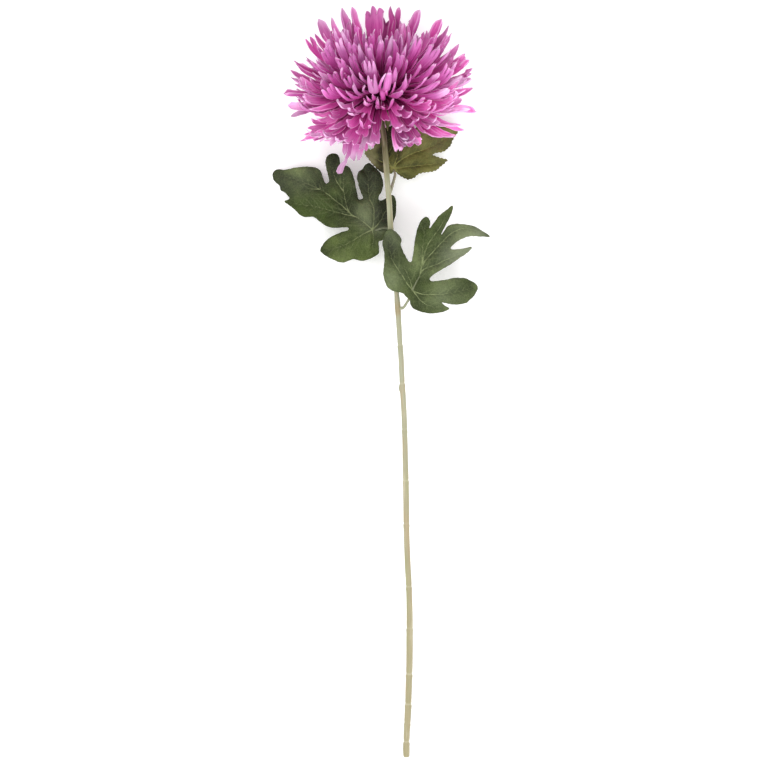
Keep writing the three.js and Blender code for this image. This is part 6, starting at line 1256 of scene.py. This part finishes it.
def leaf(name, node, outline, veins, height, stalk, material, seed, look):
    rng = np.random.default_rng(seed)
    loop = closed_curve(outline, 0.95)
    nrm = unit(np.roll(loop, -1, 0) - np.roll(loop, 1, 0)) @ np.array([[0, 1], [-1, 0]])
    k = np.arange(len(loop))
    tooth = look["tooth"] * (np.abs(((k * 0.95 / look["tooth_gap"]) % 1) - 0.5) * 2 - 0.5)
    jag = np.array([noise.noise(Vector((x * 0.35, y * 0.35, seed))) for x, y in loop])
    loop = loop + nrm * (0.35 * jag + tooth)[:, None]
    spacing = 0.92
    lo, hi = loop.min(0), loop.max(0)
    grid = []
    for i, y in enumerate(np.arange(lo[1] + 0.4, hi[1], spacing * 0.866)):
        xs = np.arange(lo[0] + (0.25 if i % 2 else 0.75) * spacing, hi[0], spacing)
        grid.append(np.stack([xs, np.full(len(xs), y)], -1))
    grid = np.concatenate(grid)
    grid = np.concatenate([g[is_inside(loop, g)] for g in np.array_split(grid, 12)])
    a, b = loop, np.roll(loop, -1, 0)
    grid = grid[line_distance(a, b, grid)[0] > 0.5 * spacing]
    pts = np.concatenate([loop, grid])
    n = len(loop)
    res = delaunay_2d_cdt([Vector(p) for p in pts.tolist()], [(i, (i + 1) % n) for i in range(n)], [], 1, 1e-7)
    pts = np.array([tuple(v) for v in res[0]])
    tris = np.array([f for f in res[2] if len(f) == 3])
    area = (pts[tris[:, 1], 0] - pts[tris[:, 0], 0]) * (pts[tris[:, 2], 1] - pts[tris[:, 0], 1]) - (
        pts[tris[:, 1], 1] - pts[tris[:, 0], 1]) * (pts[tris[:, 2], 0] - pts[tris[:, 0], 0])
    tris[area < 0] = tris[area < 0][:, ::-1]
    mains = [open_curve(v, 1.0) for v in veins]
    smalls = side_veins(mains, loop, rng, look["gap"])
    taper = [np.linspace(1, 0.35, len(m)) for m in mains]
    ma, mb = np.concatenate([m[:-1] for m in mains]), np.concatenate([m[1:] for m in mains])
    size = (np.concatenate([t[:-1] for t in taper]), np.concatenate([t[1:] for t in taper]))
    d_main, strength = line_distance(ma, mb, pts, size)
    if smalls:
        sa, sb = np.concatenate([m[:-1] for m in smalls]), np.concatenate([m[1:] for m in smalls])
        ts = [np.linspace(1, 0.2, len(m)) for m in smalls]
        d_small, s_small = line_distance(sa, sb, pts, (np.concatenate([t[:-1] for t in ts]), np.concatenate([t[1:] for t in ts])))
    else:
        d_small, s_small = np.full(len(pts), 99.0), np.zeros(len(pts))
    d_edge, _ = line_distance(a, b, pts)
    vein = np.clip(1.15 * strength, 0, 1) * np.exp(-((d_main / (0.3 + 0.26 * strength)) ** 2))
    small = s_small * np.exp(-((d_small / 0.55) ** 2))
    broad = np.array([noise.noise(Vector((x * 0.045, y * 0.045, seed + 3.1))) for x, y in pts])
    curly = np.array([noise.noise(Vector((x * 0.14, y * 0.14, seed + 7.7))) for x, y in pts])
    z = height(pts[:, 0], pts[:, 1])
    # pillows between the veins, a groove along each vein and a waved margin
    z = z + look["pillow"] * (1 - np.exp(-((d_main / 5.0) ** 1.3))) + 0.45 * (1 - np.exp(-((d_small / 1.7) ** 2)))
    z = z - 0.6 * strength * np.exp(-((d_main / 1.1) ** 2))
    z = z - 1.15 * look["droop"] * np.exp(-((d_edge / 2.2) ** 2))
    z = z + look["wave"] * curly * np.exp(-d_edge / 5.5) + look["roll"] * broad
    z = z - look["pillow"] * 0.7
    mid = keep_off_floor(np.column_stack([pts, z]), 0.42)
    fn = np.cross(mid[tris[:, 1]] - mid[tris[:, 0]], mid[tris[:, 2]] - mid[tris[:, 0]])
    normal = np.zeros_like(mid)
    for c in range(3):
        np.add.at(normal, tris[:, c], fn)
    normal = unit(normal)
    edge = np.exp(-((d_edge / 0.8) ** 2))
    thick = 0.26 * (1 - 0.35 * edge) + 0.16 * vein
    count = len(mid)
    top, low = mid + normal * thick[:, None], mid - normal * (thick + 0.25 * vein)[:, None]
    low[:, 2] = np.maximum(low[:, 2], ORIGIN[2] + 0.05)
    directed = set()
    for p, q, r in tris.tolist():
        directed.update([(p, q), (q, r), (r, p)])
    border = np.array([e for e in sorted(directed) if (e[1], e[0]) not in directed])
    rim = np.stack([border[:, 1], border[:, 0], border[:, 0] + count, border[:, 1] + count], -1)
    all_tris = np.concatenate([tris, tris[:, ::-1] + count])
    # stalk
    st = open_curve([s[:3] for s in stalk], 0.8)
    run = np.linspace(0, 1, len(st))
    knots = np.concatenate([[0], np.cumsum([np.linalg.norm(np.subtract(stalk[i + 1][:3], stalk[i][:3])) for i in range(len(stalk) - 1)])])
    radii = np.interp(run, knots / knots[-1], [s[3] for s in stalk])
    radii = radii * (1 + 0.35 * np.exp(-((run / 0.05) ** 2)))
    sp, sq, stri = tube(st, radii, 14, np.array([0.0, 0, 1]))
    sp = sp.copy()
    sp[:, 2] = np.maximum(sp[:, 2], ORIGIN[2] + 0.05)
    base = 2 * count
    points = np.concatenate([top, low, sp])
    quads = np.concatenate([rim, sq + base])
    tri = np.concatenate([all_tris, stri + base])
    reach = np.interp(np.repeat(run, 14), [0, look["stalk_green"], look["stalk_green"] + 0.12, 1], [look["stalk_pale"], look["stalk_pale"], 0.4, 0.1])
    reach = np.concatenate([reach, [1.0, 0.0]])
    two = lambda v: np.concatenate([v, v])
    zeros = np.zeros(len(sp))
    near_joint = np.linalg.norm(pts - np.array(veins[0][0]), axis=1)
    joint_glow = look["joint"] * np.exp(-((near_joint / look["joint_size"]) ** 2))
    grey_sheen = look["grey_sheen"](pts[:, 0], pts[:, 1], d_edge, broad)
    # painted shade: tone is broad noise, darkened beside the main veins where the blade dips into its groove
    tone, green = 0.9 * broad + 0.35 * curly - 0.35 * np.exp(-((d_main / 2.4) ** 2)) * (1 - vein), np.zeros(len(pts))
    # the patches add painted light and shade, a painted sheen and greener spots
    for x, y, r, t, g, h in look["patches"]:
        near = np.exp(-(((pts[:, 0] - x) ** 2 + (pts[:, 1] - y) ** 2) / r**2))
        tone, grey_sheen, green = tone + t * near, grey_sheen + g * near, green + h * near
    grey_sheen, green, tone = np.clip(grey_sheen, 0, 1), np.clip(green, 0, 1), np.clip(tone, -1, 1)
    attributes = {
        "vein": np.concatenate([two(np.maximum(vein, joint_glow)), zeros]),
        "small": np.concatenate([two(small), zeros]),
        "edge": np.concatenate([two(edge), zeros]),
        "side": np.concatenate([np.zeros(count), np.ones(count), zeros]),
        "stalk": np.concatenate([np.zeros(2 * count), reach]),
        "sheen": np.concatenate([two(grey_sheen), zeros]),
        "tone": np.concatenate([two(tone), zeros]),
        "green": np.concatenate([two(green), zeros]),
    }
    scale = max(hi - lo) * 1.04
    uv = (pts - lo) / scale + 0.01
    left = uv * [0.42, 0.42 / 0.5 * 0.5 / 0.42]
    left = uv * [0.44, 0.98]
    right_uv = uv * [0.44, 0.98] + [0.45, 0]
    strip = np.column_stack([0.91 + 0.08 * (np.tile(np.arange(14), len(st)) / 14), np.repeat(run, 14) * 0.96 + 0.02])
    strip = np.vstack([strip, [0.95, 0.01], [0.95, 0.99]])
    vert_uv_top = np.concatenate([left, right_uv, strip])
    rim_uv = left[np.stack([border[:, 1], border[:, 0], border[:, 0], border[:, 1]], -1)].reshape(-1, 2)
    corner = np.concatenate([rim_uv, vert_uv_top[sq + base].reshape(-1, 2), vert_uv_top[tri].reshape(-1, 2)])
    flat = np.zeros(len(quads) + len(tri), bool)
    flat[: len(rim)] = True
    obj = build_mesh(name, points, quads, tri, flat, attributes, corner, material)
    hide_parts(node)
    return obj


# ---- stem ---------------------------------------------------------------------------------------------------------------
def stem(material):
    line = open_curve(STEM_LINE, 0.55)
    up_mm = line[:, 1] - STEM_LINE[0][1]
    line[:, 0] += np.interp(up_mm, [5, 16, 30, 55, 80, 130, 150, 165, 188, 200, 215, 235, 245, 262, 285, 296, 325, 336, 345, 355, 380, 400],
                            [0.1, 0.4, 0.45, 0.4, 0.3, 0.4, 0.35, 0.35, 0.1, -0.15, -0.2, 0.05, 0.15, 0.4, 0.3, 0.1, 0, 0.1, 0.3, 0.1, 0.12, 0])
    start = STEM_LINE[0][1]
    y = line[:, 1] - start
    keep = [0]
    joints = np.array(STEM_JOINTS, float)
    for i in range(1, len(line)):
        near = np.abs(joints - y[i]).min()
        if y[i] - y[keep[-1]] >= (0.55 if near < 4 or y[i] < 3 else 1.9):
            keep.append(i)
    line, y = line[keep], y[keep]
    rng = np.random.default_rng(5)
    radius = np.full(len(y), STEM_RADIUS * 0.99)
    radius += 0.05 * np.sin(y / 31 + 1) + 0.04 * np.sin(y / 11.7)
    radius += np.interp(y, [8, 18, 40, 51, 62, 74, 95, 106, 127, 149, 200, 250, 262, 301, 318, 333, 344, 355, 366, 377, 398, 408, 414, 420, 430, 442],
                        [0.15, 0.0, 0.3, 0.2, 0.34, 0.24, 0.34, 0.44, 0.32, 0.08, 0.06, 0.06, 0.06, -0.12, -0.08, 0.06, -0.18, -0.04, -0.16,
                         -0.38, -0.26, 0.06, 0.0, -0.45, -0.3, 0.0])
    ring = np.zeros(len(y))
    for j, mark in zip(joints, JOINT_MARKS):
        d = y - j
        radius += (0.14 + 0.24 * mark) * np.exp(-(((d + 0.4) / np.where(d < -0.4, 2.2, 0.7)) ** 2))
        radius -= (0.1 + 0.2 * mark) * np.exp(-(((d - 1.6) / 0.9) ** 2))
        ring = np.maximum(ring, mark * np.exp(-(((d - 1.1) / 0.95) ** 2)))
    radius += 0.2 * np.exp(-(((y - 6.5) / 3.5) ** 2)) - 0.3 * np.exp(-(((y - 14.6) / 2.0) ** 2))
    radius *= np.interp(y, [0, 0.6, 1.6], [0.86, 0.97, 1.0])
    # neck and receptacle
    far = [-14.5, -13.2, -11.8, -10.7, -9.8, -9.2, -8.6, -8, -7, -5.6, -4.2, -2.8, -1.4, 0, 1.4, 2.8, 4.2, 5.6, 6.7, 7.8, 8.6, 9.2]
    neck = []
    for x in far:
        ball = math.sqrt(max(RECEPTACLE_RADIUS**2 - x * x, 0)) if abs(x) < RECEPTACLE_RADIUS else 0
        r = float(np.interp(x, [-14.5, -11.8, -9.6], [2.75, 3.2, 4.4])) if x < -9.6 else max(4.4 if x < -9 else 0, ball)
        neck.append((HEAD_CENTRE + AXIS * x, r))
    cut = line[:, 1] < neck[0][0][1] - 1.2
    line, y, radius, ring = line[cut], y[cut], radius[cut], ring[cut]
    pts = np.vstack([line, [p for p, _ in neck]])
    radius = np.concatenate([radius, [r for _, r in neck]])
    ring = np.concatenate([ring, np.zeros(len(neck))])
    up = np.concatenate([y, np.linspace(y[-1], y[-1] + 26, len(neck))]) / (y[-1] + 12)
    sides = 28
    points, quads, tris = tube(pts, radius, sides, np.array([1.0, 0, 0]))
    rows = len(pts)
    around = np.tile(2 * math.pi * (np.arange(sides) + 0.5) / sides, rows)
    lengthwise = np.repeat(np.arange(rows), sides)
    centre = np.repeat(pts, sides, 0)
    out = unit(points[:-2] - centre)
    run = np.repeat(np.concatenate([y, np.linspace(y[-1] + 1.5, y[-1] + 26, len(neck))]), sides)
    rib = 0.07 * np.cos(5 * around + 0.6 * np.sin(run / 60)) + 0.035 * np.cos(11 * around + run / 45)
    body = points[:-2] + out * (rib * (np.repeat(radius, sides) < 4))[:, None]
    # a leaf scar stands out on the left of one joint
    scar = np.exp(-(((run - joints[-1] + 38.5) / 2.2) ** 2)) * np.exp(-((np.angle(np.exp(1j * (around - math.pi))) / 0.55) ** 2))
    body = body + out * (0.9 * scar)[:, None]
    # the stalk of the upper leaf runs down the right of the stem as a low ridge between two grooves
    off = 1 - out @ unit(np.array([0.8, 0.0, 0.6]))
    spell = smooth(run, 474, 486) * (1 - smooth(run, 506, 516))
    body = body + out * (spell * (0.5 * np.exp(-((off / 0.06) ** 2)) - 0.2 * np.exp(-(((off - 0.13) / 0.07) ** 2))))[:, None]
    # painted shade: the grooves beside the ridge are marked to be coloured darker
    groove_shade = spell * np.exp(-(((off - 0.13) / 0.07) ** 2))
    points = np.vstack([body, points[-2:]])
    points[:, 2] = np.maximum(points[:, 2], ORIGIN[2])
    flow = np.column_stack([around * STEM_RADIUS, run, np.zeros(len(run))])
    flow = np.vstack([flow, [0, 0, 0], [0, run[-1], 0]])
    each = lambda v: np.concatenate([np.repeat(v, sides), [v[0], v[-1]]])
    end = np.zeros(rows)
    end[0] = 0.4
    ends = np.concatenate([np.repeat(end, sides), [1.0, 0.0]])
    attributes = {"ring": each(ring), "up": np.clip(each(up), 0, 1), "end": ends, "side": np.concatenate([groove_shade, [0.0, 0.0]]), "flow": flow}
    idx = np.arange(rows * sides).reshape(rows, sides)
    # bake layout: the stem folded into eight columns
    columns = 8
    total = rows - 1
    per = math.ceil(total / columns)
    corner = []
    for r in range(total):
        c, k = divmod(r, per)
        for s in range(sides):
            x0, x1 = (c + 0.04 + 0.92 * s / sides) / columns, (c + 0.04 + 0.92 * (s + 1) / sides) / columns
            y0, y1 = 0.05 + 0.93 * k / per, 0.05 + 0.93 * (k + 1) / per
            corner += [(x0, y0), (x1, y0), (x1, y1), (x0, y1)]
    for t in range(len(tris)):
        side = 0 if t < sides else 1
        k = t % sides
        f0, f1 = 2 * math.pi * k / sides, 2 * math.pi * (k + 1) / sides
        cx, cy, r = 0.03 + 0.05 * side, 0.025, 0.018
        if side == 0:
            corner += [(cx, cy), (cx + r * math.cos(f1), cy + r * math.sin(f1)), (cx + r * math.cos(f0), cy + r * math.sin(f0))]
        else:
            corner += [(cx, cy), (cx + r * math.cos(f0), cy + r * math.sin(f0)), (cx + r * math.cos(f1), cy + r * math.sin(f1))]
    obj = build_mesh("stem_skin", points, quads, tris, np.zeros(len(quads) + len(tris), bool), attributes, corner, material)
    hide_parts("stem")
    return obj


# ---- put it together ------------------------------------------------------------------------------------------------------
petal, bract, stem_skin = petal_material(), bract_material(), stem_material()
leaf_green = leaf_material("leaf_skin", srgb(25, 32, 8), srgb(42, 51, 19), srgb(79, 90, 44), srgb(132, 140, 98), srgb(78, 84, 64),
                           srgb(54, 70, 18))
leaf_right_green = leaf_material("leaf_skin_right", srgb(36, 45, 16), srgb(56, 67, 30), srgb(86, 98, 52), srgb(142, 152, 106),
                                 srgb(110, 116, 96), srgb(62, 80, 22))
leaf_olive = leaf_material("leaf_skin_olive", srgb(46, 46, 18), srgb(88, 90, 40), srgb(120, 121, 68), srgb(150, 152, 84),
                           srgb(136, 136, 106), srgb(86, 92, 36))

for w, rows in enumerate(FLORETS):
    rng = np.random.default_rng(1000 + w)
    base = 5.5 if w == 0 else BASE_FIRST + (w - 1) * (BASE_LAST - BASE_FIRST) / (len(FLORETS) - 2)
    node = "floret_tuft" if w == 0 else "floret_whorl_%02d" % w
    name = "tuft_straps" if w == 0 else "whorl_%02d_straps" % w
    obj = gather(name, [strap(r, base, floret_style(rng, r, base, w)) for r in rows], petal)
    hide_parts(node)

rng = np.random.default_rng(77)
obj = gather("bract_scales", [strap(r, 129.5, bract_style(rng)) for r in BRACTS], bract)
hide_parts("bracts")

stem(stem_skin)


def over(v):
    return np.maximum(v, 0)


def left_height(x, y):
    u, v, r = over(-6.78 - x), over(135.48 - y), over(x + 6.78)
    return 28.5 - 0.115 * u - 0.002215 * u * u - 0.1 * v - 0.0042 * v * v - 0.05 * r


def right_height(x, y):
    u, l, v = over(x - 29.76), over(29.76 - x), over(82.65 - y)
    return 42.5 + 0.1 * l - 0.1 * u - 0.0033 * u * u - 0.006 * v * v


def upper_height(x, y):
    u, l, n = over(x - 11.96), over(11.96 - x), over(y - 193.28)
    return 22 - 0.06 * u - 0.0022 * u * u - 0.05 * l - 0.0018 * l * l - 0.08 * n


# soft patches of each leaf: x, y, radius, tone, greyness, freshness; the tone is painted light and shade, darkest where
# the head and stem shade the leaf, and the greyness is a painted sheen
PATCHES_LEFT = [
    [-71.76, 182.2, 19.29, 0.1, 0.6, 0], [-41.46, 194.6, 12.4, -0.7, 0, 0], [-29.06, 172.56, 15.15, -0.35, 0, 0.5],
    [-57.99, 151.9, 20.66, -0.1, 0, 1], [-74.52, 156.03, 11.02, 0.3, 0, 0.8], [-9.77, 179.45, 15.15, -0.6, 0.4, 0],
    [-13.9, 153.28, 10.33, 0.45, 0.9, 0], [-9.77, 142.26, 8.27, 0.3, 0.7, 0], [1.25, 149.14, 9.64, -0.9, 0.1, 0],
    [0.56, 135.37, 5.51, 0.7, 0.9, 0], [-29.06, 118.84, 20.66, 0.7, 0.1, 0.5], [-9.77, 116.08, 11.02, 0.2, 0, 0.6],
    [-89.67, 182.2, 8.27, -0.3, 0.3, 0], [-48.34, 161.54, 8.27, -0.3, 0, 0.4], [4, 157.41, 6.89, -0.9, 0, 0],
]
PATCHES_RIGHT = [
    [10.89, 124.35, 13.78, -0.6, 0.3, 0], [12.27, 96.8, 15.15, 0, 0.2, 0.3], [9.51, 88.53, 9.64, 0.3, 0.3, 0.3],
    [37.07, 127.1, 11.02, -0.15, 0, 0.6], [54.97, 142.26, 11.02, -0.1, 0, 0.5], [49.46, 124.35, 8.27, -0.3, 0, 0.4],
    [72.88, 135.37, 15.15, 0.2, 0.4, 0], [90.79, 132.61, 9.64, 0.6, 0.8, 0], [64.62, 111.95, 13.78, 0.4, 0.8, 0],
    [31.56, 89.91, 11.02, -0.4, 0, 0.4], [72.88, 81.64, 16.53, 0.3, 0.3, 0.2], [45.33, 66.49, 15.15, 0.1, 0.2, 0.3],
    [56.35, 76.13, 9.64, -0.15, 0.2, 0.2], [78.39, 118.84, 8.27, 0.2, 0.6, 0],
]
PATCHES_UPPER = [
    [-9, 199.8, 7.2, 1.1, 1, 0], [-4.5, 210.6, 4.5, 0.5, 0.5, 0], [0.9, 207, 4.05, -1.6, 0, 0],
    [1.35, 198, 4.05, -1.6, 0, 0], [1.8, 189, 4.05, -1.5, 0, 0], [7.2, 220.5, 8.1, -1, 0, 0],
    [14.4, 208.8, 8.1, -0.5, 0, 0.2], [16.2, 226.8, 7.2, -0.8, 0, 0], [45, 199.8, 16.2, 0.15, 0, 0.1],
    [54, 216, 12.6, -0.05, 0.2, 0], [64.8, 225, 7.2, 0.25, 0, 0], [34.2, 211.5, 9, -0.2, 0, 0.1],
]

leaf("leaf_left_blade", "leaf_left", LEAF_LEFT, VEINS_LEFT, left_height,
     [[8.6, 136.9, 37.6, 1.2], [2.2, 137.2, 31.2, 1.0], [-6.78, 135.48, 26.6, 0.8], [-16.2, 142.2, 25.4, 0.5], [-25.5, 148.7, 23.4, 0.3]],
     leaf_green, 11,
     {"tooth": 0.0, "tooth_gap": 4.0, "gap": 6.5, "pillow": 2.0, "droop": 0.7, "wave": 2.6, "roll": 2.2, "stalk_green": 0.2,
      "stalk_pale": 0.25, "joint": 0.0, "joint_size": 3.0, "patches": PATCHES_LEFT, "grey_sheen": lambda x, y, e, b: 0.25 * b})
leaf("leaf_right_blade", "leaf_right", LEAF_RIGHT, VEINS_RIGHT, right_height,
     [[16.4, 65.4, 32.4, 1.35], [18.8, 64.9, 33.2, 1.3], [21.3, 65.6, 34.4, 1.2], [23.8, 69.2, 36.4, 1.1], [26.3, 73.6, 38.4, 1.05],
      [29.76, 82.65, 40.9, 0.9], [37.5, 97.5, 39.8, 0.6], [46.3, 113.6, 38.2, 0.3]],
     leaf_right_green, 23,
     {"tooth": 0.0, "tooth_gap": 4.0, "gap": 6.5, "pillow": 2.1, "droop": 0.7, "wave": 2.4, "roll": 2.0, "stalk_green": 0.24,
      "stalk_pale": 0.8, "joint": 0.4, "joint_size": 2.2, "patches": PATCHES_RIGHT, "grey_sheen": lambda x, y, e, b: 0.3 * b})
leaf("leaf_upper_blade", "leaf_upper", LEAF_UPPER, VEINS_UPPER, upper_height,
     [[7.6, 165.0, 43.4, 1.45], [9.5, 170.4, 40.2, 1.5], [11.3, 176.4, 34.8, 1.4], [13.7, 185.8, 26.0, 1.25], [12.9, 191.0, 20.4, 0.8], [24.5, 194.4, 17.6, 0.3]],
     leaf_olive, 31,
     {"tooth": 0.9, "tooth_gap": 3.4, "gap": 6.0, "pillow": 1.7, "droop": 0.5, "wave": 1.8, "roll": 1.4, "stalk_green": 0.6,
      "stalk_pale": 1.0, "joint": 0.8, "joint_size": 4.0, "patches": PATCHES_UPPER, "grey_sheen": lambda x, y, e, b: 0.3 * b})

# ---- floor, light and camera -------------------------------------------------------------------------------------------------
floor_mesh = bpy.data.meshes.new("floor")
R = 3.0
floor_mesh.from_pydata([(-R, -R, 0), (R, -R, 0), (R, R, 0), (-R, R, 0)], [], [(0, 1, 2, 3)])
floor = bpy.data.objects.new("floor", floor_mesh)
bpy.context.scene.collection.objects.link(floor)
f = Nodes("floor_paint")
# the floor is a white table that glows faintly through its emission, painted light that keeps the shadows on it light
f.finish(srgb(248, 248, 248), 0.9, Specular_IOR_Level=0.1, Emission_Strength=0.2)
floor_mesh.materials.append(f.material)

world = bpy.data.worlds.new("studio")
bpy.context.scene.world = world
world.use_nodes = True
background = world.node_tree.nodes.get("Background") or world.node_tree.nodes.new("ShaderNodeBackground")
background.inputs["Color"].default_value = (1, 1, 1, 1)
background.inputs["Strength"].default_value = 1.08


def area(name, at, target, size, power):
    light = bpy.data.lights.new(name, "AREA")
    light.shape = "DISK"
    light.size = size
    light.energy = power
    o = bpy.data.objects.new(name, light)
    o.location = at
    o.rotation_euler = (Vector(target) - Vector(at)).to_track_quat("-Z", "Y").to_euler()
    bpy.context.scene.collection.objects.link(o)


area("key", (-0.9, 0.3, 2.5), (0, 0.1, 0), 1.8, 18)
area("fill", (0.8, -1.3, 2.4), (0, 0.1, 0), 2.0, 22)

camera = bpy.data.cameras.new("camera")
camera.sensor_width = 36
camera.lens = 36 * 4450 / 684
camera.clip_end = 20
eye = bpy.data.objects.new("camera", camera)
eye.location = (-0.00104, 0.00394, 4.50072)
eye.rotation_euler = (0, 0, 0)
bpy.context.scene.collection.objects.link(eye)
bpy.context.scene.camera = eye
bpy.context.scene.view_settings.view_transform = "Standard"

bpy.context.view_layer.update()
